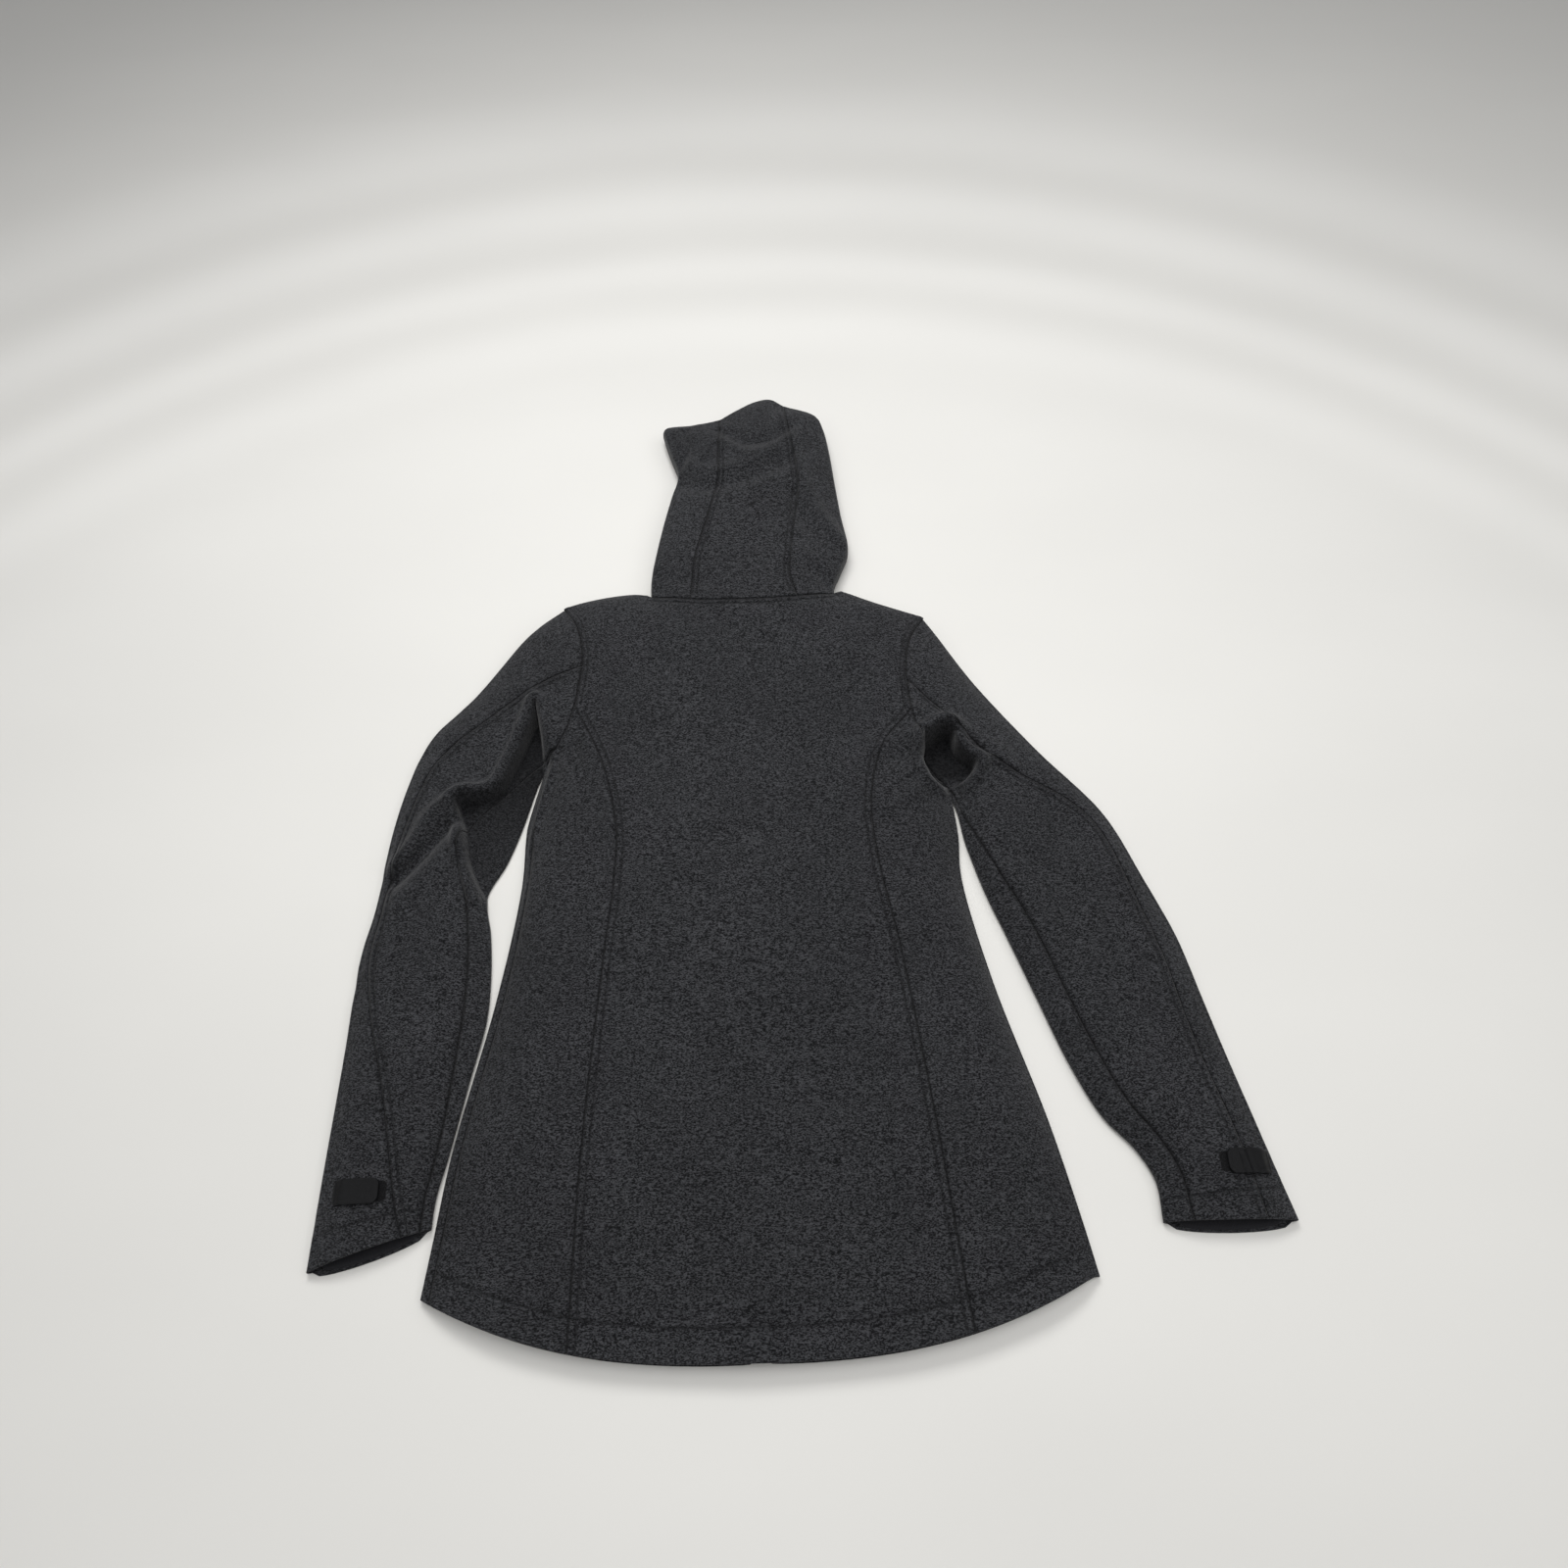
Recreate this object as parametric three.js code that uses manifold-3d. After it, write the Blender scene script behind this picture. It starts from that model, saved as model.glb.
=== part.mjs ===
// Hooded softshell jacket laid flat, back side up. Millimetres, +Z up, +Y towards the hood.
import * as THREE from 'three';
import { mergeVertices } from 'three/addons/utils/BufferGeometryUtils.js';
import ManifoldModule from 'manifold-3d';

// ---------------------------------------------------------------- driving sizes
const CLOTH = 1.5; // bonded softshell cloth
const FACING = 0.9; // lighter cloth of facings, flaps and tapes
const SEAM_GAP = 0.5; // air between two cloth edges that are sewn together
const AIR = 0.35; // air between two cloth layers that lie on each other

const BACK_LENGTH = 736; // neck seam to hem at the centre back
const HEM_WIDTH = 537; // across the hem, laid flat
const HEM_RISE = 54; // how much higher the hem sits at the side seams
const SLEEVE_LENGTH = 650; // shoulder point to cuff
const LAY_GAP = 2.5; // least distance in plan from a sleeve's inner edge to the body's side
const NECK_HALF = 98; // half of the back neck seam
const NECK_DROP = 62; // how far the front neckline lies below the back one
const HEM_DEPTH = 25; // turned depth of the hem and cuffs
const LOFT = 29; // how far the back lies above the front in the middle
const SLEEVE_LOFT = 17; // the same inside a sleeve
const LOFT_REACH = 24; // how fast the back rises away from a folded edge
const CURL = 3; // how far the front cloth curls up along the side seam
const CURL_REACH = 5;
const EDGE_AIR = 0.25; // air between the two cloths where they come nearest, along a side seam
const EDGE_LIFT = CURL + 1.5 * CLOTH + EDGE_AIR; // middle of the back cloth along a folded edge
const MOUTH_REACH = 200; // up from the hem or a cuff, where its loft starts to fall

const ZIP_LEVEL = 8.2; // middle plane of every zip, above the table
const TAPE = 0.6;
const TAPE_WIDTH = 12.7;
const COIL = 2.4; // height and width of half a zip chain
const COIL_GAP = 0.6; // from the zip's middle line to each coil
const ZIP_SLOT = 7; // from the zip's middle line to the cloth edge
const ZIP_REACH = 38; // width over which the cloth comes down from the zip
const SLIDER_LENGTH = 15;
const SLIDER_HALF = 5;
const SLIDER_PLATE = 1.2;
const SLIDER_AIR = 0.3;
const PULL_LENGTH = 30;
const PULL_WIDTH = 6;
const PULL_THICK = 1;

const POCKET_X = 134; // pocket zip line, from the centre front
const POCKET_LENGTH = 158;
const POCKET_RISE = 142; // from the hem at the centre front to the bottom of a pocket zip
const POCKET_BOTTOM = -BACK_LENGTH + POCKET_RISE;
const POCKET_TOP = POCKET_BOTTOM + POCKET_LENGTH;
const PULL_ROOM = PULL_LENGTH - 6; // past a pocket zip's ends, where the cloth stays up over the pull
const BAG_AIR = 1.7; // from the sliders up to the pocket bags and the wind flap

const TAB_LENGTH = 38;
const TAB_WIDTH = 20;
const TAB_THICK = 1.8;
const PATCH = 1;

// Rows and columns of the cloth grids
const BODY_ROWS = 10;
const ARMHOLE_ROWS = 4;
const SIDE_COLUMNS = 4;
const BACK_COLUMNS = 8;
const FRONT_COLUMNS = 6;
const SLEEVE_ROWS = 13;
const HOOD_ROWS = 10;
const FOLD_RADIUS = (EDGE_LIFT - CLOTH / 2) / 2;

// Sizes at which the lay below is drawn; grading moves its points to the driving sizes above
const DRAWN = { backLength: 736, hemWidth: 537, sleeveLength: 650, neckHalf: 98 };
const ARM_DEPTH = 240; // below the neck seam; the body and sleeves are graded in length below it
const HOOD_EASE = 150; // up the hood, where a wider neck stops widening it

// Lay of each half: distances outwards from the centre line, and along the back from the neck seam.
// A shoulder's points are a share of the way from the neck to the shoulder point, and a height.
const SIDES = {
  left: {
    sign: -1,
    shoulder: [[0.167, 13], [0.478, 17], [0.767, 9]],
    armhole: [[193, -4], [177, -33], [168, -76], [173, -135]],
    underarm: [[173, -135], [182, -163], [200, -189]],
    side: [[200, -189], [213, -254], [214, -325], [228, -434], [254, -570], [262, -640]],
    hem: 267,
    princess: [[173, -135], [143, -201], [126, -276], [126, -330], [132, -404], [144, -580]],
    princessHem: 149,
    sleeveOuter: [
      [194, -4], [235, -31], [289, -108], [323, -156], [336, -207], [345, -262], [350, -343],
      [357, -390], [358, -483], [360, -570], [362, -658],
    ],
    sleeveInner: [
      [207, -189], [219, -254], [232, -298], [248, -334], [242, -370], [238, -410], [238, -452],
      [248, -508], [259, -570], [266, -605], [267, -628],
    ],
    seam: [[0, 0.45], [0.2, 0.2], [0.35, 0.12], [0.6, 0.07], [0.8, 0.42], [1, 0.78]],
    underSeam: 0.92,
    tabInset: 15, // from the cuff's outer corner to the tab's sewn end
    tabUp: 47, // from the cuff edge to the middle of the tab
    hoodSide: [
      [100, 1], [100, 30], [94, 75], [87, 114], [80, 148], [74, 195], [81, 220], [88, 257],
      [55, 267], [25, 276],
    ],
    hoodSeam: [[57, 1], [53, 52], [40, 110], [27, 174], [27, 205], [25, 270]],
    faceEdge: [[9, 1], [33, 60], [46, 110], [47, 160], [40, 200], [33, 240], [25, 270]],
  },
  right: {
    sign: 1,
    shoulder: [[0.103, 4], [0.333, -4], [0.563, -13]],
    armhole: [[190, -29], [172, -62], [164, -100], [165, -153]],
    underarm: [[165, -153], [175, -192], [198, -236]],
    side: [[198, -236], [200, -282], [198, -325], [215, -430], [247, -558], [263, -640]],
    hem: 270,
    princess: [[165, -153], [135, -189], [118, -250], [120, -318], [133, -404], [153, -590]],
    princessHem: 166,
    sleeveOuter: [
      [191, -29], [224, -74], [265, -139], [298, -187], [347, -263], [371, -334], [391, -396],
      [402, -455], [412, -508], [427, -580], [441, -645],
    ],
    sleeveInner: [
      [207, -236], [208, -285], [213, -311], [222, -346], [236, -388], [256, -450], [275, -508],
      [297, -556], [320, -584], [332, -610], [332, -643],
    ],
    seam: [[0, 0.42], [0.2, 0.3], [0.4, 0.1], [0.6, 0.15], [0.75, 0.2], [1, 0.25]],
    underSeam: 0.84,
    tabInset: 14,
    tabUp: 45,
    hoodSide: [
      [97, 1], [96, 16], [108, 48], [115, 70], [110, 124], [106, 172], [102, 223], [97, 258],
      [90, 277], [52, 297],
    ],
    hoodSeam: [[56, 1], [50, 30], [54, 77], [60, 123], [64, 160], [52, 291]],
    faceEdge: [[9, 1], [38, 60], [54, 110], [57, 160], [57, 200], [54, 240], [52, 291]],
  },
};
const HOOD_CREST = [[-25, 276], [-4, 291], [17, 304], [36, 308], [52, 297]];

// ---------------------------------------------------------------- small tools
const lerp = (a, b, t) => a + (b - a) * t;
const mix = (p, q, t) => p.map((value, axis) => lerp(value, q[axis], t));
const smooth = (t) => {
  const c = Math.min(1, Math.max(0, t));
  return c * c * (3 - 2 * c);
};
const range = (count) => Array.from({ length: count }, (unused, index) => index);

// A smooth plan curve through points, returned as evenly spaced points
function through(points, segments) {
  const knots = points.map(([x, y]) => new THREE.Vector3(x, y, 0));
  const curve = new THREE.CatmullRomCurve3(knots, false, 'centripetal');
  return curve.getSpacedPoints(segments).map((p) => [p.x, p.y]);
}

// The value of a line of [position, value] pairs at t
function valueAt(pairs, t) {
  const after = Math.max(1, pairs.findIndex(([at]) => at >= t));
  const [t0, v0] = pairs[after - 1];
  const [t1, v1] = pairs[after];
  return lerp(v0, v1, smooth((t - t0) / (t1 - t0)));
}

const outwards = (side, points) => points.map(([x, y]) => [side.sign * x, y]);
const shifted = (points, dx, dy = 0) => points.map(([x, y]) => [x + dx, y + dy]);

// Plan grid between four edges; rows run from the bottom edge to the top edge
function coons(bottom, top, left, right) {
  const columns = bottom.length - 1;
  const rows = left.length - 1;
  return range(rows + 1).map((row) => range(columns + 1).map((column) => {
    const u = column / columns;
    const v = row / rows;
    const across = mix(left[row], right[row], u);
    const along = mix(bottom[column], top[column], v);
    const corners = mix(mix(bottom[0], bottom[columns], u), mix(top[0], top[columns], u), v);
    return across.map((value, axis) => value + along[axis] - corners[axis]);
  }));
}

// ---------------------------------------------------------------- grading
// A point below the arm depth, stretched in length so that what lies below it grows from drawn to made
function lengthened(y, drawn, made) {
  const below = -y - ARM_DEPTH;
  return below > 0 ? y - below * ((made - drawn) / (drawn - ARM_DEPTH)) : y;
}
const bodyWidth = (y) => {
  const down = Math.max(0, (-y - ARM_DEPTH) / (DRAWN.backLength - ARM_DEPTH));
  return lerp(1, HEM_WIDTH / DRAWN.hemWidth, Math.min(1, down));
};
const gradedBody = (points) => points.map(([x, y]) => {
  return [x * bodyWidth(y), lengthened(y, DRAWN.backLength, BACK_LENGTH)];
});
const gradedHood = (points) => points.map(([x, y]) => {
  return [x * lerp(NECK_HALF / DRAWN.neckHalf, 1, smooth(y / HOOD_EASE)), y];
});
// The outward distance of a line at a height, where its points run downwards
function outwardAt(line, y) {
  const next = line.findIndex(([, at]) => at < y);
  if (next < 0) return line.at(-1)[0];
  const [[x0, y0], [x1, y1]] = [line[Math.max(0, next - 1)], line[next]];
  return next ? lerp(x0, x1, (y - y0) / (y1 - y0)) : x1;
}

const HEM_SIDE = -BACK_LENGTH + HEM_RISE;
for (const side of Object.values(SIDES)) {
  const shoulderPoint = side.armhole[0];
  const neckPoint = [NECK_HALF + 5, -0.5];
  side.shoulder = [
    neckPoint,
    ...side.shoulder.map(([share, y]) => [lerp(neckPoint[0], shoulderPoint[0], share), y]),
    shoulderPoint,
  ];
  side.hem *= HEM_WIDTH / DRAWN.hemWidth;
  side.princessHem *= HEM_WIDTH / DRAWN.hemWidth;
  side.side = [...gradedBody(side.side), [side.hem, HEM_SIDE]];
  side.princess = gradedBody(side.princess);

  // A longer or shorter sleeve still lies beside the body, both of its edges moved alike
  const longer = ([x, y]) => [x, lengthened(y, DRAWN.sleeveLength, SLEEVE_LENGTH)];
  const inner = side.sleeveInner.map(longer);
  const moved = ([x, y]) => {
    const inSide = outwardAt(side.side, y) + LAY_GAP;
    return [x + Math.max(0, inSide - outwardAt(inner, y)), y];
  };
  side.sleeveInner = inner.map(moved);
  side.sleeveOuter = side.sleeveOuter.map(longer).map(moved);
  for (const line of ['hoodSide', 'hoodSeam', 'faceEdge']) side[line] = gradedHood(side[line]);
}

// ---------------------------------------------------------------- heights of the two layers
const foldedEdges = [];
for (const side of Object.values(SIDES)) {
  side.sideLine = outwards(side, through(side.side, BODY_ROWS)).reverse();
  side.shoulderLine = outwards(side, through(side.shoulder, ARMHOLE_ROWS));
  side.armholeLine = outwards(side, through(side.armhole, ARMHOLE_ROWS)).reverse();
  side.underarmLine = outwards(side, through(side.underarm, SIDE_COLUMNS));
  side.outer = outwards(side, side.sleeveOuter);
  side.inner = outwards(side, side.sleeveInner);
  foldedEdges.push(side.sideLine, side.shoulderLine, side.outer, side.inner);
  foldedEdges.push(outwards(side, side.hoodSide));
}
foldedEdges.push(HOOD_CREST);

// Distance in plan from a point to the nearest folded edge
function edgeDistance(x, y) {
  let nearest = Infinity;
  for (const line of foldedEdges) {
    for (let i = 1; i < line.length; i += 1) {
      const [ax, ay] = line[i - 1];
      const [bx, by] = [line[i][0] - ax, line[i][1] - ay];
      const t = Math.min(1, Math.max(0, ((x - ax) * bx + (y - ay) * by) / (bx * bx + by * by)));
      nearest = Math.min(nearest, Math.hypot(x - ax - t * bx, y - ay - t * by));
    }
  }
  return nearest;
}

// Middle of the back (upper) cloth
function upper(x, y) {
  const side = x < 0 ? SIDES.left : SIDES.right;
  const loft = lerp(LOFT, SLEEVE_LOFT, smooth((Math.abs(x) - 180) / 110));
  const onSleeve = Math.abs(x) > outwardAt(side.side, y) + LAY_GAP / 2;
  const cuff = lengthened(-DRAWN.backLength, DRAWN.sleeveLength, SLEEVE_LENGTH);
  const mouthStart = (onSleeve ? cuff : -BACK_LENGTH) + MOUTH_REACH;
  const mouth = 1 - 0.35 * smooth((mouthStart - y) / (0.85 * MOUTH_REACH));
  return EDGE_LIFT + loft * mouth * (1 - Math.exp(-edgeDistance(x, y) / LOFT_REACH));
}

// Middle of the front (lower) cloth: flat on the table, raised along the zips
function zipLift(x, y) {
  const lift = ZIP_LEVEL - TAPE / 2 - AIR - CLOTH;
  const centre = 1 - smooth((Math.abs(x) - ZIP_SLOT) / ZIP_REACH);
  const pocketAcross = 1 - smooth((Math.abs(Math.abs(x) - POCKET_X) - ZIP_SLOT) / ZIP_REACH);
  const beyond = Math.max(y - POCKET_TOP, POCKET_BOTTOM - y, 0);
  const pocketAlong = 1 - smooth((beyond - PULL_ROOM) / ZIP_REACH);
  return lift * Math.max(y < 4 ? centre : centre * (1 - smooth(y / 40)), pocketAcross * pocketAlong);
}
const lower = (x, y) => CLOTH / 2 + zipLift(x, y);
const lowerCurled = (x, y) => lower(x, y) + CURL * Math.exp(-edgeDistance(x, y) / CURL_REACH);

// ---------------------------------------------------------------- solids
const group = new THREE.Group();
group.name = 'softshell_jacket';

const finish = (color, roughness, metalness = 0) => {
  return new THREE.MeshStandardMaterial({ color, roughness, metalness });
};
const softshell = finish(0x3a3b3d, 0.9);
const liningCloth = finish(0x1b1c1e, 0.85);
const zipPlastic = finish(0x141416, 0.45);
const paintedMetal = finish(0x1d1d20, 0.35, 0.8);
const hookTape = finish(0x0c0c0d, 0.95);

function add(name, geometry, material) {
  const mesh = new THREE.Mesh(geometry, material);
  mesh.name = name;
  group.add(mesh);
  return mesh;
}

// A closed solid from two matching point grids, over and under. With ring, the columns close up.
function skin(over, under, ring = false) {
  const rows = over.length;
  const columns = over[0].length;
  const points = [...over.flat(), ...under.flat()];
  const faces = [];
  const quad = (a, b, c, d) => faces.push(a, b, c, a, c, d);
  const at = (layer, row, column) => layer * rows * columns + row * columns + (column % columns);
  const spans = ring ? columns : columns - 1;
  for (let r = 0; r < rows - 1; r += 1) {
    for (let c = 0; c < spans; c += 1) {
      quad(at(0, r, c), at(0, r, c + 1), at(0, r + 1, c + 1), at(0, r + 1, c));
      quad(at(1, r, c), at(1, r + 1, c), at(1, r + 1, c + 1), at(1, r, c + 1));
    }
  }
  for (let c = 0; c < spans; c += 1) {
    quad(at(0, 0, c), at(1, 0, c), at(1, 0, c + 1), at(0, 0, c + 1));
    quad(at(0, rows - 1, c + 1), at(1, rows - 1, c + 1), at(1, rows - 1, c), at(0, rows - 1, c));
  }
  for (let r = 0; !ring && r < rows - 1; r += 1) {
    const end = columns - 1;
    quad(at(0, r + 1, 0), at(1, r + 1, 0), at(1, r, 0), at(0, r, 0));
    quad(at(0, r, end), at(1, r, end), at(1, r + 1, end), at(0, r + 1, end));
  }
  let volume = 0;
  for (let i = 0; i < faces.length; i += 3) {
    const [a, b, c] = [points[faces[i]], points[faces[i + 1]], points[faces[i + 2]]];
    volume += a[0] * (b[1] * c[2] - b[2] * c[1]) + a[1] * (b[2] * c[0] - b[0] * c[2])
      + a[2] * (b[0] * c[1] - b[1] * c[0]);
  }
  if (volume < 0) faces.reverse();
  const geometry = new THREE.BufferGeometry();
  geometry.setAttribute('position', new THREE.Float32BufferAttribute(points.flat(), 3));
  geometry.setIndex(faces);
  return geometry.toNonIndexed();
}

// Cloth lying over a plan grid, with its middle at height(x, y) plus rise
function sheet(grid, height, thick = CLOTH, rise = 0) {
  const raise = (offset) => grid.map((row) => row.map(([x, y]) => [x, y, height(x, y) + rise + offset]));
  return skin(raise(thick / 2), raise(-thick / 2));
}

// The height of faceted cloths at a plan point: the flat facet over that point
function facets(...cloths) {
  const triangles = [];
  for (const rows of cloths) {
    for (let r = 0; r + 1 < rows.length; r += 1) {
      for (let c = 0; c + 1 < rows[0].length; c += 1) {
        triangles.push([rows[r][c], rows[r][c + 1], rows[r + 1][c + 1]]);
        triangles.push([rows[r][c], rows[r + 1][c + 1], rows[r + 1][c]]);
      }
    }
  }
  return (x, y) => {
    let best = { miss: Infinity, z: 0 };
    for (const [a, b, c] of triangles) {
      const area = (b[0] - a[0]) * (c[1] - a[1]) - (c[0] - a[0]) * (b[1] - a[1]);
      const wb = ((x - a[0]) * (c[1] - a[1]) - (c[0] - a[0]) * (y - a[1])) / area;
      const wc = ((b[0] - a[0]) * (y - a[1]) - (x - a[0]) * (b[1] - a[1])) / area;
      const miss = Math.max(0, -wb, -wc, wb + wc - 1);
      if (miss < best.miss) best = { miss, z: a[2] + wb * (b[2] - a[2]) + wc * (c[2] - a[2]) };
    }
    return best.z;
  };
}
const raised = (grid, height) => grid.map((row) => row.map(([x, y]) => [x, y, height(x, y)]));
const facetHeight = (grid, height) => facets(raised(grid, height));

// Cloth that folds round an edge: rows of 3-D points on its middle, thickened along the normals
function wrapped(rows, thick = CLOTH, ring = false) {
  const last = rows[0].length;
  const near = (row, column) => {
    const r = rows[Math.min(rows.length - 1, Math.max(0, row))];
    return new THREE.Vector3(...r[ring ? (column + last) % last : Math.min(last - 1, Math.max(0, column))]);
  };
  const offset = (distance) => rows.map((row, r) => row.map((point, c) => {
    const along = near(r + 1, c).sub(near(r - 1, c));
    const before = near(r, c).sub(near(r, c - 1)).normalize();
    const after = near(r, c + 1).sub(near(r, c)).normalize();
    const across = before.clone().add(after);
    const normal = along.cross(across).normalize();
    const isEnd = before.lengthSq() === 0 || after.lengthSq() === 0;
    const bend = isEnd ? 1 : Math.sqrt(Math.max(0.25, (1 + before.dot(after)) / 2));
    return new THREE.Vector3(...point).addScaledVector(normal, distance / bend).toArray();
  }));
  return skin(offset(thick / 2), offset(-thick / 2), ring);
}

const block = (x0, x1, y0, y1, z0, z1) => {
  const box = new THREE.BoxGeometry(x1 - x0, y1 - y0, z1 - z0);
  return box.translate((x0 + x1) / 2, (y0 + y1) / 2, (z0 + z1) / 2);
};

// A plate cut from a plan outline, with optional holes
function plate(outline, holes, z, thick) {
  const shape = new THREE.Shape(outline.map(([x, y]) => new THREE.Vector2(x, y)));
  for (const hole of holes) {
    shape.holes.push(new THREE.Path(hole.map(([x, y]) => new THREE.Vector2(x, y))));
  }
  const geometry = new THREE.ExtrudeGeometry(shape, { depth: thick, bevelEnabled: false });
  return geometry.translate(0, 0, z);
}
const rectangle = (x0, x1, y0, y1) => [[x0, y0], [x1, y0], [x1, y1], [x0, y1]];

// ---------------------------------------------------------------- back of the body
const { left, right } = SIDES;
for (const side of [left, right]) {
  side.princessLine = outwards(side, through(
    [[side.princessHem, -BACK_LENGTH + 13], ...[...side.princess].reverse()],
    BODY_ROWS,
  ));
}
const hemCurve = (x) => -BACK_LENGTH + HEM_RISE * Math.min(1, Math.abs(x) / left.hem) ** 2.6;
const hemBetween = (x0, x1, columns) => range(columns + 1).map((i) => {
  const x = lerp(x0, x1, i / columns);
  return [x, hemCurve(x)];
});
// Grid edges must meet exactly in their corners
const pinned = (line, first, last) => {
  return line.map((point, i) => (i === 0 ? first : i === line.length - 1 ? last : point));
};
for (const side of [left, right]) {
  side.princessLine[0] = [side.sign * side.princessHem, hemCurve(side.princessHem)];
  side.sideLine[0] = [side.sign * side.hem, HEM_SIDE];
}

const half = SEAM_GAP / 2;
const onBack = [];
{
  const edgeOf = (side) => shifted([...side.princessLine, ...side.armholeLine.slice(1)], -side.sign * half);
  const leftEdge = edgeOf(left);
  const rightEdge = edgeOf(right);
  const neck = range(5).map((i) => [lerp(-NECK_HALF - 5, NECK_HALF + 5, i / 4), -0.8 - (i % 4 ? 3 : 0)]);
  const shoulders = [
    ...[4, 2].map((i) => left.shoulderLine[i]), ...neck, ...[2, 4].map((i) => right.shoulderLine[i]),
  ];
  const top = pinned(shoulders, leftEdge.at(-1), rightEdge.at(-1));
  const bottom = pinned(hemBetween(leftEdge[0][0], rightEdge[0][0], BACK_COLUMNS), leftEdge[0], rightEdge[0]);
  const grid = coons(bottom, top, leftEdge, rightEdge);
  add('back_panel', sheet(grid, upper), softshell);
  onBack.push([grid, facetHeight(grid, upper)]);
}
for (const [name, side] of Object.entries(SIDES)) {
  const seam = shifted(side.princessLine, side.sign * half);
  const bottom = pinned(hemBetween(side.sideLine[0][0], seam[0][0], SIDE_COLUMNS), side.sideLine[0], seam[0]);
  const top = pinned([...side.underarmLine].reverse(), side.sideLine.at(-1), seam.at(-1));
  const grid = coons(bottom, top, side.sideLine, seam);
  add(`back_side_panel_${name}`, sheet(grid, upper), softshell);
  side.onBackSide = facetHeight(grid, upper);
}

// ---------------------------------------------------------------- front of the body
const NECKLINE = [[0.43, 0.87], [0.735, 0.5], [0.918, 0.145]].map(([out, down]) => {
  return [NECK_HALF * out, -NECK_DROP * down];
});
NECKLINE.unshift([ZIP_SLOT, -NECK_DROP]);
const POCKET_END = 6;
for (const [name, side] of Object.entries(SIDES)) {
  const [topX, topY] = side.armhole.at(-1);
  const above = (share) => lerp(POCKET_TOP + POCKET_END, topY, share);
  const seam = [
    [side.princessHem, hemCurve(side.princessHem)],
    [POCKET_X, POCKET_BOTTOM - PULL_ROOM],
    [POCKET_X, POCKET_BOTTOM - POCKET_END],
    [POCKET_X, POCKET_BOTTOM],
    [POCKET_X, (POCKET_TOP + POCKET_BOTTOM) / 2],
    [POCKET_X, POCKET_TOP],
    [POCKET_X, POCKET_TOP + POCKET_END],
    [POCKET_X - 8, above(0.29)],
    [POCKET_X - 10, above(0.53)],
    [lerp(POCKET_X - 10, topX, 0.4), above(0.77)],
    [topX, topY],
  ];
  const isPocket = (i) => i > 2 && i < 6;
  const edge = (direction) => seam.map(([x, y], i) => {
    return [side.sign * (x + direction * (isPocket(i) ? ZIP_SLOT : half)), y];
  });
  const inside = [...edge(-1), ...shifted(side.armholeLine.slice(1), -side.sign * half)];
  const rows = inside.length - 1;
  const zipEdge = range(rows + 1).map((i) => {
    const y = lerp(hemCurve(0) + 1, -NECK_DROP, i / rows);
    return [side.sign * ZIP_SLOT, y];
  });
  const neckline = outwards(side, through(NECKLINE, 3));
  const top = pinned(
    [...neckline, [side.sign * (NECK_HALF + 5), -1], side.shoulderLine[2], side.shoulderLine[4]],
    zipEdge.at(-1),
    inside.at(-1),
  );
  const bottom = pinned(hemBetween(zipEdge[0][0], inside[0][0], FRONT_COLUMNS), zipEdge[0], inside[0]);
  const panel = coons(bottom, top, zipEdge, inside);
  add(`front_panel_${name}`, sheet(panel, lowerCurled), softshell);

  const outside = edge(1);
  const hemLine = hemBetween(side.sideLine[0][0], outside[0][0], SIDE_COLUMNS);
  const hemSide = pinned(hemLine, side.sideLine[0], outside[0]);
  const under = pinned([...side.underarmLine].reverse(), side.sideLine.at(-1), outside.at(-1));
  const sidePanel = coons(hemSide, under, side.sideLine, outside);
  add(`front_side_panel_${name}`, sheet(sidePanel, lowerCurled), softshell);
  const onFront = facets(raised(panel, lowerCurled), raised(sidePanel, lowerCurled));

  // Front half of the stand-up collar, between the neckline and the line on which the hood folds
  const collarBottom = outwards(side, through(shifted(NECKLINE, 0, SEAM_GAP), 3));
  const collarTop = range(4).map((i) => [lerp(collarBottom[0][0], collarBottom[3][0], i / 3), -1.5]);
  const uprights = (x, y0) => range(3).map((i) => [x, lerp(y0, -1.5, i / 2)]);
  const collar = coons(
    collarBottom,
    collarTop,
    uprights(...collarBottom[0]),
    uprights(...collarBottom[3]),
  );
  add(`front_collar_${name}`, sheet(collar, lower), softshell);

  // Turned hem of this front
  const facingEnds = [side.sign * (ZIP_SLOT + TAPE_WIDTH), side.sign * (side.hem - 22)];
  const low = shifted(hemBetween(...facingEnds, 12), 0, 2.5);
  const high = shifted(low, 0, HEM_DEPTH);
  const ends = (i) => [low[i], high[i]];
  const rise = (CLOTH + FACING) / 2 + AIR + 0.8;
  const facingGrid = coons(low, high, ends(0), ends(12));
  add(`hem_facing_front_${name}`, sheet(facingGrid, onFront, FACING, rise), liningCloth);
}

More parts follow.
